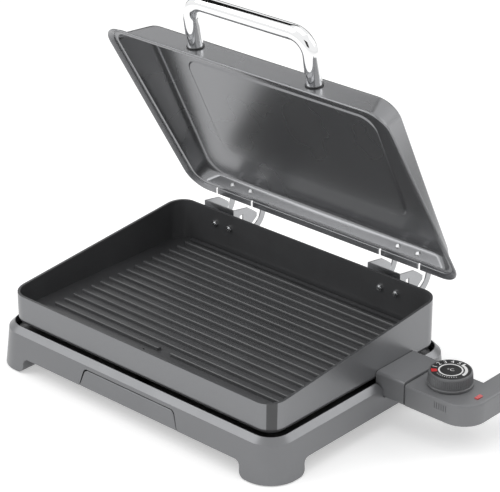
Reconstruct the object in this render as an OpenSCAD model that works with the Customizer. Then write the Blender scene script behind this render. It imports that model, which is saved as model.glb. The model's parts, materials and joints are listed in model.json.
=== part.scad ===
// Electric indoor grill: a ribbed pan on a moulded base, with a hinged lid,
// a drip tray that slides out at the front and a plug-in thermostat with a dial.
// Lengths are in millimetres and angles in degrees. X runs along the long side,
// +Y points to the hinges and +Z up. The grill stands on Z = 0.

/* [Pan] */
// Outer length of the pan, left to right
pan_l = 400; // [333:1:480]
// Outer width of the pan, front to back
pan_w = 281; // [234:1:338]
// Outer corner radius of the pan
pan_corner = 22; // [18:0.5:27]
// Thickness of the pan's side walls
pan_wall = 3; // [2.5:0.1:3.6]
// Height of the front rim above the skirt's lower edge
pan_front_h = 36.8; // [30:0.1:46]
// Slope of the rim, which rises towards the hinges
rim_slope = 5.17; // [3:0.01:6.2]
// Outer radius of the skirt's rounded lower edge
skirt_round = 8; // [6.5:0.1:9.6]
// Thickness of the cooking plate
plate_t = 5.5; // [4.5:0.1:6.6]
// Height of the plate's upper face above the skirt's lower edge
plate_rise = 12.3; // [11.5:0.1:16]
// Distance between the centres of the plate's ribs
rib_pitch = 14.4; // [12:0.1:18]
// Width of a rib at its foot
rib_w = 7; // [5:0.1:8.4]
// Height of a rib
rib_h = 4; // [3:0.1:5]
// Width of the flat gutter in front of the ribs
gutter_front = 25.2; // [21:0.1:31]
// Width of the flat gutter at the two ends of the ribs
gutter_side = 24; // [20:0.1:29]
// Width of the raised border behind the ribs
border_w = 5; // [4:0.1:6]
// Width of the moat between that border and the back wall
moat_w = 4.5; // [3.5:0.1:6]
// Radius of the drain hole
drain_r = 5; // [4:0.1:6]
// Distance of the drain hole to the right of the pan's middle
drain_x = 2; // [-10:1:10]

/* [Base] */
// Height of the base's opening edge above the table
base_h = 52.8; // [48:0.1:63]
// Reveal between the pan and the base's opening edge
base_reveal = 4; // [3.2:0.1:6]
// Width and height of the 45 degree band below the opening edge
band = 6.5; // [5:0.1:8]
// Outward lean of the base's walls
base_draft = 6.5; // [4:0.1:8]
// Wall thickness of the base
base_wall = 3; // [2.5:0.1:3.6]
// Corner radius of the base at its opening edge
base_corner = 24; // [20:0.5:29]
// Height of the arches between the feet
arch_h = 19.8; // [16:0.1:23]
// Length of a foot along the front, at the top of the arch
foot_l = 47; // [40:1:56]
// Length of a foot along the sides, at the top of the arch
foot_w = 49; // [41:1:58]
// Lean of the faces of a foot, from the arch's top to the table
foot_lean = 5; // [3:0.1:7]
// Radius of the arches' upper corners
arch_round = 7; // [5:0.1:9]
// Radius of the feet's lower corners
foot_round = 8; // [5:0.1:9]
// Thickness of the rubber pads under the feet
pad_t = 1.2; // [1:0.1:1.5]
// Thickness of the bottom cover
cover_t = 2.5; // [2:0.1:3]
// Thickness of the heat reflector's sheet
sheet_t = 0.8; // [0.6:0.1:1.2]
// Radius of the posts that carry the reflector and the pan
post_r = 7; // [6:0.1:8.4]

/* [Drip tray] */
// Width of the tray's front at its lower edge
front_w = 149; // [124:1:178]
// Narrowing of the tray's front from its lower edge to its upper edge
front_taper = 11; // [6:1:16]
// Height of the tray's front
front_h = 20.7; // [18:0.1:22]
// Radius of the front's upper corners
front_round = 6; // [4:0.1:7]
// Gap round the tray's front
front_gap = 1.4; // [1:0.1:1.8]
// Width of the tray
tray_w = 132; // [110:1:140]
// Depth of the tray, front to back
tray_d = 194; // [162:1:210]
// Height of the tray
tray_h = 14.5; // [12:0.1:15]
// Sheet thickness of the tray
tray_t = 1.2; // [0.8:0.1:1.5]

/* [Lid] */
// Side overhang of the lid over the pan
lid_side = 6.84; // [5:0.01:8.2]
// Front overhang of the lid over the pan
lid_front = 5.5; // [4:0.1:7]
// Corner radius of the lid's flange
lid_corner = 28; // [24:0.5:33]
// Width of the flat flange round the lid
flange_w = 11; // [9.2:0.1:13]
// Height of the step inside the flange
step_h = 5.5; // [4.5:0.1:6.6]
// Width of the ledge half-way up that step
ledge_w = 1.8; // [1.5:0.1:2.2]
// Height of the ledge above the flange's underside
ledge_h = 4; // [3.3:0.1:4.8]
// Sheet thickness of the lid
lid_t = 1.5; // [1.2:0.1:1.8]
// Depth of the lid at the hinges, from the flange to the panel
lid_back_h = 21.8; // [19:0.1:26]
// Depth of the lid at the front, from the flange to the panel
lid_front_h = 42; // [35:0.1:50]
// Inset of the panel from the flange's edge at the hinges
panel_back = 15.3; // [14:0.1:18]
// Inset of the panel from the flange's edge at the sides
panel_side = 22.75; // [19:0.05:27]
// Inset of the panel from the flange's edge at the front
panel_front = 27.7; // [23:0.1:33]
// Outer radius between the lid's walls and its panel
panel_round = 7; // [5.5:0.1:8.4]
// Depth of the field pressed outward in the panel
field_rise = 1.2; // [0.8:0.1:1.5]
// Distance of the pressed field from the flange's front edge
field_front = 70; // [60:1:84]
// Distance of the pressed field from the flange's hinge edge
field_back = 61; // [51:1:73]
// Distance of the pressed field from the flange's side edges
field_side = 68; // [57:1:81]
// Corner radius of the pressed field
field_round = 16; // [13:0.5:19]
// Angle by which the lid stands open
lid_open = 64.3; // [50:0.1:77]
// Gap between the closed lid and the pan's rim
lid_gap = 0.4; // [0.3:0.1:0.8]

/* [Hinges] */
// Distance of the hinges' middles from the pan's ends
hinge_inset = 72.6; // [62:0.1:87]
// Distance of the pivot behind the pan
pivot_back = 16.4; // [16:0.1:18]
// Distance of the pivot below the back rim
pivot_drop = 20.9; // [20:0.1:22]
// Sheet thickness of the hinges
hinge_t = 1.5; // [1.2:0.1:1.8]
// Radius of the pivot pins
pin_r = 2.5; // [2:0.1:3]
// Running clearance round the pivot pins
pin_gap = 0.06; // [0.05:0.01:0.1]
// Distance between the two ears of a hinge
ear_gap = 44.5; // [37:0.5:48]
// Offset of the right ear from the hinge's middle
ear_offset = 8; // [6.5:0.5:9.5]
// Distance between the two screws of a hinge
screw_span = 23; // [20:0.5:26]
// Distance between the two rivets of a hinge
rivet_span = 29; // [24:0.5:33]
// Width of the band that the lid's arms are cut from
arm_w = 9; // [8:0.1:10]
// Radius of the arms' bend, on the middle of the band
arm_bend = 22; // [21:0.1:24]

/* [Handle] */
// Distance between the handle's two legs
handle_span = 174; // [145:1:208]
// Distance of the grip from the lid
handle_reach = 58; // [48:1:69]
// Radius of the handle's tube
handle_r = 9.2; // [7.7:0.1:11]
// Wall thickness of the handle's tube
handle_t = 1.5; // [1.2:0.1:1.8]
// Bend radius of the tube's middle line
handle_bend = 22; // [18:0.5:26]
// Lean of the handle's legs from the flange's plane
handle_lean = 21; // [17:0.5:24]
// Height of the handle's feet above the flange's plane
handle_h = 24; // [20:0.5:27]

/* [Thermostat] */
// Distance of the connector's middle behind the pan's middle
probe_y = 61.75; // [50:0.25:70]
// Width of the connector block
block_w = 66.5; // [56:0.5:79]
// Length of the connector block
block_l = 38.2; // [32:0.1:45]
// Height of the connector block's underside above the table
probe_z = 36; // [34:0.1:38]
// Height of the connector block
block_h = 28.5; // [25:0.1:34]
// Step from the connector block down to the housing's top
top_step = 2; // [1:0.1:3]
// Length of the housing, away from the pan
housing_l = 87.4; // [82:0.1:104]
// Depth of the housing, without its tail
housing_w = 62.5; // [59:0.5:70]
// Radius of the housing's outer front corner
nose_r = 29; // [24:0.5:34]
// Width of the tail that holds the cord's outlet
tail_w = 28; // [24:0.5:33]
// Length of the tail, behind the housing
tail_l = 77; // [64:1:92]
// Wall thickness of the housing
housing_t = 2.2; // [1.8:0.1:2.6]
// Radius of the cord's outlet
outlet_r = 3.75; // [3:0.05:4.5]
// Radius of the dial's skirt
dial_r = 25.5; // [21:0.1:27]
// Height of the dial
dial_h = 16.5; // [14:0.1:20]
// Distance between the two terminal pins
terminal_span = 22; // [18.5:0.5:26]
// Radius of the terminal pins and the sensing rod
terminal_r = 2.5; // [2:0.1:3]
// Radius of the heating element's tube
element_r = 3.3; // [2.8:0.1:3.9]

/* [Hidden] */
$fn = 64;
eps = 0.01;
// Thickness of the thin slabs that blends are hulled from
slab_h = 0.1;
// Facets of the curves that blends are drawn from
blend_fn = 32;
// Gap between pieces that rest on each other on different bodies
seat_gap = 0.2;
// Gap round a piece that slides or drops into a hole
slip_gap = 0.6;

// Base heights
wall_z = base_h - band;
post_z = base_h - 9.6;
reflector_z = post_z + sheet_t;
// Offsets of the base's outer face from the pan, at the band's foot and at a height z below it
band_out = base_reveal + band;
function wall_out(z) = band_out + (wall_z - z) * tan(base_draft);
foot_out = wall_out(pad_t);
// Corner centres of the base, which all its offsets share
base_cx = pan_l / 2 + base_reveal - base_corner;
base_cy = pan_w / 2 + base_reveal - base_corner;
// Turns an offset from the pan into a radius about the base's corner centres
function base_r(out) = base_corner - base_reveal + out;
arch_x = pan_l / 2 + wall_out(arch_h) - foot_l;
arch_y = pan_w / 2 + wall_out(arch_h) - foot_w;
boss_r = 5;
boss_x = 0.6 * pan_l / 2;
boss_y = pan_w / 2 + base_reveal - 0.8 - boss_r;

// Pan heights
pan_z = base_h - 0.6;
plate_z = pan_z + plate_rise;
plate_under = plate_z - plate_t;
rim_front_z = pan_z + pan_front_h;
rim_back_z = rim_front_z + pan_w * tan(rim_slope);
pan_cx = pan_l / 2 - pan_corner;
pan_cy = pan_w / 2 - pan_corner;
inner_x = pan_l / 2 - pan_wall;
inner_y = pan_w / 2 - pan_wall;
rib_first = -inner_y + gutter_front + rib_w / 2;
border_y = inner_y - moat_w - border_w / 2;
rib_count = floor((border_y - border_w / 2 - rib_w / 2 - 2 - rib_first) / rib_pitch) + 1;
drain_y = -inner_y + 0.6 * gutter_front;
post_x = pan_cx;
post_y = pan_cy - 2.5;
element_x = pan_l / 2 - 50;
element_y = pan_w / 2 - 45.5;
element_end = pan_l / 2 - 20;

// Tray
tray_front_y = -pan_w / 2 - band_out + base_wall - 0.7;
tray_z = arch_h + cover_t + seat_gap;

// Lid, in its own frame: the flange's hinge edge on Y = 0, the lid towards -Y
lid_half = pan_l / 2 + lid_side;
lid_len = pan_w / cos(rim_slope) + lid_front;
panel_tilt = atan((lid_front_h - lid_back_h) / (lid_len - panel_back - panel_front));
back_lean = atan((panel_back - flange_w) / (lid_back_h - step_h));
front_lean = atan((panel_front - flange_w) / (lid_front_h - step_h));
side_lean = atan((panel_side - flange_w) / ((lid_front_h + lid_back_h) / 2 - step_h));
pivot_y = pan_w / 2 + pivot_back;
pivot_z = rim_back_z - pivot_drop;
// The pivot seen from the closed lid's frame
pivot_v = pivot_back * cos(rim_slope) - pivot_drop * sin(rim_slope);
pivot_n = -pivot_back * sin(rim_slope) - pivot_drop * cos(rim_slope) - lid_gap;

// Hinges
hinge_x = pan_l / 2 - hinge_inset;
ear_left = ear_offset - ear_gap - hinge_t;
ear_right = ear_offset;
bracket_w = screw_span + 17;
screw_z = rim_back_z - 17;
arm_gap = 0.3;
rivet_n = 12.2;
arm_cy = 1;
collar_t = 1.6;

// Thermostat
block_x = pan_l / 2 + 0.4;
block_front = probe_y - block_w / 2;
housing_x = block_x + block_l;
housing_end = housing_x + housing_l;
housing_top = probe_z + block_h - top_step;
split_z = probe_z + 0.5 * block_h;
tail_x = housing_end - tail_w;
tail_y = block_front + housing_w + tail_l;
terminal_z = plate_under - element_r - 0.1;
dial_x = housing_x + 35.4;
dial_y = block_front + 35.5;
dial_z = housing_top + 0.4;
lens_x = dial_x + 41;
lens_y = dial_y - 4;
outlet_z = probe_z + block_h / 2 - top_step / 2;
screw_points = [
    [housing_x + 9, block_front + 9],
    [housing_x + 9, block_front + housing_w - 9],
    [tail_x + tail_w / 2, block_front + housing_w + tail_l / 2]
];

// The middle of the whole outline, which becomes the origin
arm_turn = lid_open - rim_slope;
arm_reach = arm_cy * cos(arm_turn) + arm_bend * sin(arm_turn) + arm_bend + arm_w / 2;
centre_x = (housing_end - pan_l / 2 - foot_out) / 2;
centre_y = (pivot_y + arm_reach - pan_w / 2 - foot_out) / 2;

// Placing and drawing helpers

module at_origin() translate([-centre_x, -centre_y, 0]) children();

// Places what is drawn in the lid's own frame on the open lid
module on_lid()
    translate([0, pivot_y, pivot_z]) rotate([-lid_open + rim_slope, 0, 0])
        translate([0, -pivot_v, -pivot_n]) children();

module both_hinges() for (side = [-1, 1]) translate([side * hinge_x, 0, 0]) children();

module mirror_x() for (side = [0, 1]) mirror([side, 0, 0]) children();

module four(x, y) for (sx = [-1, 1], sy = [-1, 1]) translate([sx * x, sy * y, 0]) children();

// Points on an arc, for outlines
function arc(x, y, r, from, to, steps = 6) =
    [for (i = [0:steps]) let (a = from + (to - from) * i / steps) [x + r * cos(a), y + r * sin(a)]];

module round_rect(l, w, r) {
    four(l / 2 - r, w / 2 - r) circle(r);
    square([l - 2 * r, w], center = true);
    square([l, w - 2 * r], center = true);
}

// Sweeps a profile round a rounded rectangle. The profile's x is the distance from the corner centres
module round_sweep(cx, cy)
    for (i = [0:3]) {
        d = i % 2 == 0 ? cx : cy;
        s = i % 2 == 0 ? cy : cx;
        rotate(90 * i) translate([d, s, 0]) {
            rotate_extrude(angle = 90) children();
            rotate([90, 0, 0]) linear_extrude(2 * s) children();
        }
    }

// A tube along points in the XY plane, with right-angled turns of one bend radius
module tube_run(points, r, bend) {
    last = len(points) - 1;
    for (i = [0:last - 1]) {
        step = points[i + 1] - points[i];
        from = i == 0 ? 0 : bend;
        to = i == last - 1 ? norm(step) : norm(step) - bend;
        translate([points[i][0], points[i][1], 0]) rotate(atan2(step[1], step[0]))
            translate([from, 0, 0]) rotate([0, 90, 0]) cylinder(h = to - from, r = r);
    }
    for (i = [1:last - 1]) {
        u = (points[i] - points[i - 1]) / norm(points[i] - points[i - 1]);
        v = (points[i + 1] - points[i]) / norm(points[i + 1] - points[i]);
        c = points[i] - u * bend + v * bend;
        left = u[0] * v[1] - u[1] * v[0] > 0;
        start = left ? atan2(-v[1], -v[0]) : atan2(u[1], u[0]);
        translate([c[0], c[1], 0]) rotate(start)
            rotate_extrude(angle = 90) translate([bend, 0]) circle(r);
    }
}

// A pan-head screw whose head stands on Z = 0 and whose shank points down
module screw(head_r, head_h, shank_r, shank_l) {
    cylinder(h = head_h * 0.6, r = head_r);
    translate([0, 0, head_h * 0.6 - eps]) cylinder(h = head_h * 0.4, r1 = head_r, r2 = head_r * 0.7);
    translate([0, 0, -shank_l]) cylinder(h = shank_l + eps, r = shank_r);
}

// Base

// Cross-section of the base's wall, x measured from the corner centres
module wall_profile() {
    top_in = base_r(base_reveal - 0.8);
    polygon([
        [base_r(foot_out), pad_t], [base_r(band_out), wall_z], [base_r(base_reveal), base_h],
        [top_in, base_h], [top_in, wall_z - 1], [base_r(band_out) - base_wall, wall_z - 5],
        [base_r(foot_out) - base_wall, pad_t]
    ]);
}

// Outline of an arch between two feet, in the plane of the wall
module arch_profile(half) {
    low = half + arch_h * tan(foot_lean);
    flare = foot_round * 0.8;
    side = concat(
        [[low + flare, -1], [low + flare, pad_t]],
        arc(low + flare, pad_t + foot_round, foot_round, 270, 180 + foot_lean, 5),
        arc(half - arch_round, arch_h - arch_round, arch_round, foot_lean, 90, 5)
    );
    other = [for (i = [len(side) - 1:-1:0]) [-side[i][0], side[i][1]]];
    polygon(concat(side, other));
}

// Outline of the tray's front, grown by the gap round it
module front_profile(grow) {
    low = front_w / 2 + grow;
    high = (front_w - front_taper) / 2 + grow;
    top = arch_h + front_h + grow;
    lean = atan((low - high) / (front_h + grow));
    side = concat([[low, arch_h - grow]], arc(high - front_round, top - front_round, front_round, lean, 90));
    polygon(concat(side, [for (i = [len(side) - 1:-1:0]) [-side[i][0], side[i][1]]]));
}

module foot_block() {
    out = wall_out(arch_h) - 0.5;
    x1 = pan_l / 2 + out;
    y1 = pan_w / 2 + out;
    r = base_r(out);
    difference() {
        translate([0, 0, pad_t]) linear_extrude(arch_h + cover_t - pad_t) difference() {
            translate([arch_x, arch_y]) square([x1 - arch_x, y1 - arch_y]);
            translate([x1 - r, y1 - r]) difference() {
                square(r + 1);
                circle(r);
            }
        }
        inset = base_wall + arch_h * tan(foot_lean);
        translate([arch_x + inset, arch_y + inset, pad_t + base_wall])
            cube([x1 - arch_x - inset - 12, y1 - arch_y - inset - 12, arch_h]);
    }
    translate([post_x, post_y, pad_t + 1]) cylinder(h = post_z - pad_t - 1, r = post_r);
}

// Edge of the notch that the connector block drops into
module notch_profile() {
    half = block_w / 2 + slip_gap;
    low = probe_z - slip_gap;
    round = 6;
    side = concat(
        arc(half - 3, low + 3, 3, 270, 360, 4),
        arc(half + round, base_h - round, round, 180, 90, 5),
        [[half + round, base_h + 5]]
    );
    polygon(concat(side, [for (i = [len(side) - 1:-1:0]) [-side[i][0], side[i][1]]]));
}

// Screw bosses, which ribs join to the front and back walls
module bosses() for (sy = [0, 1]) mirror([0, sy, 0]) for (x = [-boss_x, boss_x]) translate([x, boss_y, 0]) {
    h = post_z - arch_h - cover_t;
    translate([0, 0, arch_h + cover_t]) cylinder(h = h, r = boss_r);
    translate([-1.5, 0, arch_h + cover_t]) cube([3, pan_w / 2 + wall_out(post_z) - boss_y - 1, h - 3]);
}

module base_shell() color("#6f7276") at_origin() difference() {
    union() {
        round_sweep(base_cx, base_cy) wall_profile();
        for (sx = [0, 1], sy = [0, 1]) mirror([sx, 0, 0]) mirror([0, sy, 0]) foot_block();
        bosses();
    }
    rotate([90, 0, 0]) linear_extrude(2 * pan_w, center = true) arch_profile(arch_x);
    rotate([90, 0, 90]) linear_extrude(2 * pan_l, center = true) arch_profile(arch_y);
    translate([0, -pan_w / 4, 0]) rotate([90, 0, 0]) linear_extrude(pan_w) front_profile(front_gap);
    translate([pan_l / 2 - 20, probe_y, 0]) rotate([90, 0, 90]) linear_extrude(60) notch_profile();
    four(boss_x, boss_y) translate([0, 0, arch_h]) cylinder(h = 12, r = 1.5);
    four(boss_x, boss_y) translate([0, 0, post_z - 10]) cylinder(h = 11, r = 1.5);
}

// Closes the base from below and guides the tray between two rails
module bottom_cover() color("#4a4c4f") at_origin() difference() {
    out = wall_out(arch_h + cover_t) - base_wall - 0.4;
    union() {
        translate([0, 0, arch_h]) linear_extrude(cover_t)
            round_rect(pan_l + 2 * out, pan_w + 2 * out, base_r(out));
        for (side = [-1, 1])
            translate([side * (tray_w / 2 + 1.8) - 1, tray_front_y + 12, arch_h + cover_t - eps])
                cube([2, tray_d - 10, 7]);
        translate([-tray_w / 2 - 2.8, tray_front_y + tray_d + 1, arch_h + cover_t - eps])
            cube([tray_w + 5.6, 2, 7]);
    }
    four(arch_x - 0.4 + 50, arch_y - 0.4 + 50) translate([0, 0, arch_h]) cube([100, 100, 20], center = true);
    translate([0, tray_front_y - 18, arch_h]) cube([front_w + 2 * front_gap + 2, 40, 20], center = true);
    four(boss_x, boss_y) translate([0, 0, arch_h - 1]) cylinder(h = 10, r = 1.8);
}

module rubber_feet() color("#1b1b1c") at_origin() for (sx = [0, 1], sy = [0, 1])
    mirror([sx, 0, 0]) mirror([0, sy, 0])
        linear_extrude(pad_t) intersection() {
            inset = arch_h * tan(foot_lean) + foot_round + 1;
            out = foot_out - 2;
            round_rect(pan_l + 2 * out, pan_w + 2 * out, base_r(out));
            translate([arch_x + inset, arch_y + inset]) square(100);
        }

module heat_reflector() color("#a9abad") at_origin() difference() {
    l = pan_l + 2 * base_reveal - 4;
    w = pan_w + 2 * base_reveal - 4;
    r = base_corner - 2;
    translate([0, 0, post_z]) linear_extrude(sheet_t) union() {
        round_rect(l - 6, w - 6, r - 3);
        four(boss_x, boss_y) circle(6);
    }
    translate([drain_x, drain_y, post_z - 1]) cylinder(h = 4, r = drain_r + 7);
    four(boss_x, boss_y) translate([0, 0, post_z - 1]) cylinder(h = 4, r = 1.8);
    translate([pan_l / 2 - 20, probe_y - block_w / 2 - 2, post_z - 1]) cube([60, block_w + 4, 4]);
}

module base_screws() color("#9a9c9f") at_origin() {
    four(boss_x, boss_y) translate([0, 0, reflector_z]) screw(3.2, 1.8, 1.45, 9);
    four(boss_x, boss_y) translate([0, 0, arch_h]) mirror([0, 0, 1]) screw(3.2, 1.8, 1.45, 11);
}

// Drip tray

module drip_tray() color("#55575a") at_origin()
    translate([0, tray_front_y + tray_d / 2, tray_z]) difference() {
        r = 9;
        union() {
            linear_extrude(tray_h) round_rect(tray_w - 2, tray_d, r);
            translate([0, 0, tray_h - 1.5]) linear_extrude(1.5) round_rect(tray_w, tray_d, r);
        }
        translate([0, 0, tray_t]) linear_extrude(tray_h)
            round_rect(tray_w - 2 - 2 * tray_t, tray_d - 2 * tray_t, r - tray_t);
    }

module tray_front() color("#6b6e72") at_origin() intersection() {
    rotate([90, 0, 90]) linear_extrude(front_w + 20, center = true)
        polygon([
            [-pan_w / 2 - wall_out(arch_h - 2), arch_h - 2],
            [tray_front_y, arch_h - 2],
            [tray_front_y, base_h],
            [-pan_w / 2 - wall_out(base_h), base_h]
        ]);
    translate([0, -pan_w / 4, 0]) rotate([90, 0, 0]) linear_extrude(pan_w) difference() {
        front_profile(0);
        translate([0, arch_h - 5]) square([front_w + 20, 10], center = true);
    }
}

// Pan

// Cross-section of the pan's wall, down to its rounded skirt
module pan_profile() {
    high = rim_back_z + 5;
    turn = pan_corner - skirt_round;
    difference() {
        union() {
            translate([pan_corner - pan_wall, pan_z + skirt_round]) square([pan_wall, high - pan_z - skirt_round]);
            translate([turn, pan_z + skirt_round]) circle(skirt_round);
        }
        translate([turn, pan_z + skirt_round]) circle(skirt_round - pan_wall);
        translate([turn - 20, pan_z + skirt_round]) square([pan_corner - pan_wall - turn + 20, 60]);
        translate([turn - 20, pan_z - 5]) square([20, 60]);
    }
}

module rib_profile()
    polygon([
        [-rib_w / 2, -0.5], [rib_w / 2, -0.5], [rib_w / 2 - 0.9, rib_h - 0.9],
        [rib_w / 2 - 1.9, rib_h], [-rib_w / 2 + 1.9, rib_h], [-rib_w / 2 + 0.9, rib_h - 0.9]
    ]);

// A rib from x0 to x1, with its two ends rounded
module rib(x0, x1) intersection() {
    translate([x0, 0, plate_z]) rotate([90, 0, 90]) linear_extrude(x1 - x0) rib_profile();
    translate([0, 0, plate_z - 1]) linear_extrude(rib_h + 2) {
        translate([x0 + rib_w / 2, -rib_w / 2]) square([x1 - x0 - rib_w, rib_w]);
        for (x = [x0 + rib_w / 2, x1 - rib_w / 2]) translate([x, 0]) circle(rib_w / 2);
    }
}

module ribs() {
    end = inner_x - gutter_side;
    for (i = [0:rib_count - 1]) translate([0, rib_first + i * rib_pitch, 0]) {
        // The two front ribs part round the funnel that leads to the drain
        half = i == 0 ? 20 : i == 1 ? 8.5 : 0;
        if (half > 0) {
            rib(-end, drain_x - half);
            rib(drain_x + half, end);
        } else {
            rib(-end, end);
        }
    }
    translate([-end, border_y - border_w / 2, plate_z - 0.5]) cube([2 * end, border_w, rib_h + 0.5]);
}

module grill_pan() color("#3c3d3f") at_origin() difference() {
    union() {
        round_sweep(pan_cx, pan_cy) pan_profile();
        translate([0, 0, plate_under]) linear_extrude(plate_t)
            round_rect(pan_l - 1, pan_w - 1, pan_corner - 0.5);
        ribs();
        four(post_x, post_y) translate([0, 0, reflector_z + seat_gap])
            cylinder(h = plate_under - reflector_z, r = post_r - 1);
        translate([drain_x, drain_y, base_h - 6]) cylinder(h = plate_under - base_h + 6.5, r = drain_r + 2);
    }
    translate([0, pan_w / 2, rim_back_z]) rotate([rim_slope, 0, 0])
        translate([0, -pan_w / 2, 50]) cube([2 * pan_l, 2 * pan_w, 100], center = true);
    translate([drain_x, drain_y, 0]) cylinder(h = 150, r = drain_r);
    translate([drain_x, drain_y, plate_z - 2]) cylinder(h = 2 + eps, r1 = drain_r, r2 = drain_r + 4);
    both_hinges() for (s = [-1, 1]) translate([s * screw_span / 2, pan_w / 2, screw_z])
        rotate([90, 0, 0]) cylinder(h = 20, r = 2.15, center = true);
    for (s = [-1, 0, 1]) translate([pan_l / 2 - 10, probe_y + s * terminal_span / 2, terminal_z])
        rotate([0, 90, 0]) cylinder(h = 20, r = terminal_r + (s == 0 ? 0.5 : 2));
}

// The element's tube runs in one loop under the plate, from one terminal to the other
module heating_element() color("#7b7c7e") at_origin()
    translate([0, 0, terminal_z])
        tube_run([
            [element_end, probe_y + terminal_span / 2], [element_x, probe_y + terminal_span / 2],
            [element_x, element_y], [-element_x, element_y],
            [-element_x, -element_y], [element_x, -element_y],
            [element_x, probe_y - terminal_span / 2], [element_end, probe_y - terminal_span / 2]
        ], element_r, 10.9);

// Saddles that hold the element up against the plate
module element_clips() color("#8f9193") at_origin()
    for (sx = [-1, 1], sy = [-1, 1]) translate([sx * element_x / 2, sy * element_y, 0]) difference() {
        translate([-6, -12, plate_under - 2 * element_r - 1.3]) cube([12, 24, 2 * element_r + 1.3]);
        translate([-10, 0, terminal_z]) rotate([0, 90, 0]) cylinder(h = 20, r = element_r + 0.1);
        translate([-10, -element_r - 0.1, terminal_z]) cube([20, 2 * element_r + 0.2, 10]);
        for (s = [-1, 1]) translate([-10, s * 10 - 4.7, plate_under - 2 * element_r - 3])
            cube([20, 9.4, 2 * element_r + 1.6]);
    }

// Ceramic piece that holds the two pins behind the skirt
module terminal_insulator() color("#d8d4c8") at_origin() difference() {
    w = terminal_span + 4 * terminal_r + 2;
    translate([pan_l / 2 - 22, probe_y - w / 2, terminal_z - 4.2]) cube([13, w, plate_under - terminal_z + 4.1]);
    for (s = [-1, 0, 1]) translate([pan_l / 2 - 30, probe_y + s * terminal_span / 2, terminal_z])
        rotate([0, 90, 0]) cylinder(h = 30, r = terminal_r + (s == 0 ? 0.5 : 0.05));
    for (s = [-1, 1]) translate([pan_l / 2 - 30, probe_y + s * terminal_span / 2, terminal_z])
        rotate([0, 90, 0]) cylinder(h = 10.2, r = element_r + 0.1);
}

module terminal_pins() color("#c9cacc") at_origin()
    for (s = [-1, 1]) translate([element_end, probe_y + s * terminal_span / 2, terminal_z])
        rotate([0, 90, 0]) {
            cylinder(h = 40, r = terminal_r);
            translate([0, 0, 40 - eps]) cylinder(h = 2, r1 = terminal_r, r2 = terminal_r - 1.2);
        }

// Hinges

// Outline of an ear, Y and Z measured from the pivot
module ear_profile() difference() {
    front = pan_w / 2 + 6.5 - pivot_y;
    union() {
        polygon([
            [front, 12], [front, 23.4], [15, 19.5], [23, 14.2], [31.6, 7.5], [31.6, 2.5], [22, -4.5], [3, -8.6]
        ]);
        circle(9);
    }
    circle(pin_r + 0.02);
    translate([1, 6]) square([6, 7]);
}

module hinge_bracket(x) color("#b4b6b8") at_origin() translate([x, 0, 0]) difference() {
    back = pan_w / 2;
    low = screw_z - 11.5;
    high = screw_z + 10.6;
    web_y = back + 6.5;
    union() {
        translate([-bracket_w / 2, back, low]) cube([bracket_w, hinge_t, high - low]);
        translate([-bracket_w / 2, back, high - hinge_t]) cube([bracket_w / 2 + ear_right + hinge_t, 8, hinge_t]);
        translate([ear_left, web_y, high - hinge_t])
            cube([ear_right - ear_left + hinge_t, hinge_t, pivot_z + 23.4 - high + hinge_t]);
        for (e = [ear_left, ear_right])
            translate([e, pivot_y, pivot_z]) rotate([90, 0, 90]) linear_extrude(hinge_t) ear_profile();
    }
    for (s = [-1, 1]) translate([s * screw_span / 2, back, screw_z])
        rotate([90, 0, 0]) cylinder(h = 20, r = 2.15, center = true);
}

module hinge_bracket_left() hinge_bracket(-hinge_x);
module hinge_bracket_right() hinge_bracket(hinge_x);

// Screws come from behind, and their nuts show inside the pan
module hinge_screws() color("#9a9c9f") at_origin() both_hinges() for (s = [-1, 1])
    translate([s * screw_span / 2, pan_w / 2 + hinge_t, screw_z]) rotate([-90, 0, 0])
        screw(3.8, 2, 2.05, hinge_t + pan_wall + 4);

module hinge_nuts() color("#b5b7b9") at_origin() both_hinges() for (s = [-1, 1])
    translate([s * screw_span / 2, inner_y, screw_z]) rotate([90, 0, 0]) difference() {
        cylinder(h = 2.6, r = 3.7, $fn = 6);
        translate([0, 0, -1]) cylinder(h = 5, r = 2.1);
    }

module hinge_pin(x) color("#c4c6c8") at_origin() translate([x, pivot_y, pivot_z]) rotate([0, 90, 0]) {
    from = ear_left - arm_gap - hinge_t - 0.4;
    to = ear_right + 2 * hinge_t + arm_gap + 0.4;
    translate([0, 0, from]) cylinder(h = to - from, r = pin_r);
    translate([0, 0, from - 1.5]) cylinder(h = 1.5, r = pin_r + 1.7);
    translate([0, 0, to]) cylinder(h = 1.5, r = pin_r + 1.7);
}

module hinge_pin_left() hinge_pin(-hinge_x);
module hinge_pin_right() hinge_pin(hinge_x);

// Lid

// Inset of the lid's walls from the flange's edge, at a height above the flange and a depth into the sheet
function lid_inset(lean, height, t) = flange_w + (height - step_h) * tan(lean) + t / cos(lean);

// A thin slab of the lid's outline. The insets are from the flange's edge, r is its corner radius
module lid_slab(back, side, front, r, h = slab_h, tilt = 0) {
    l = 2 * (lid_half - side);
    w = (lid_len - back - front) / cos(tilt);
    translate([0, -back - w / 2, 0]) linear_extrude(h) round_rect(l, w, r, $fn = blend_fn);
}

// A slab of the dome in the panel's tilted plane, so far below the panel and inset from its edges
module panel_slab(down, in_back, in_side, in_front, r)
    translate([0, -panel_back, lid_back_h - down - slab_h]) rotate([-panel_tilt, 0, 0])
        translate([0, panel_back, 0])
            lid_slab(panel_back + in_back, panel_side + in_side, panel_front + in_front, r, slab_h, panel_tilt);

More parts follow.
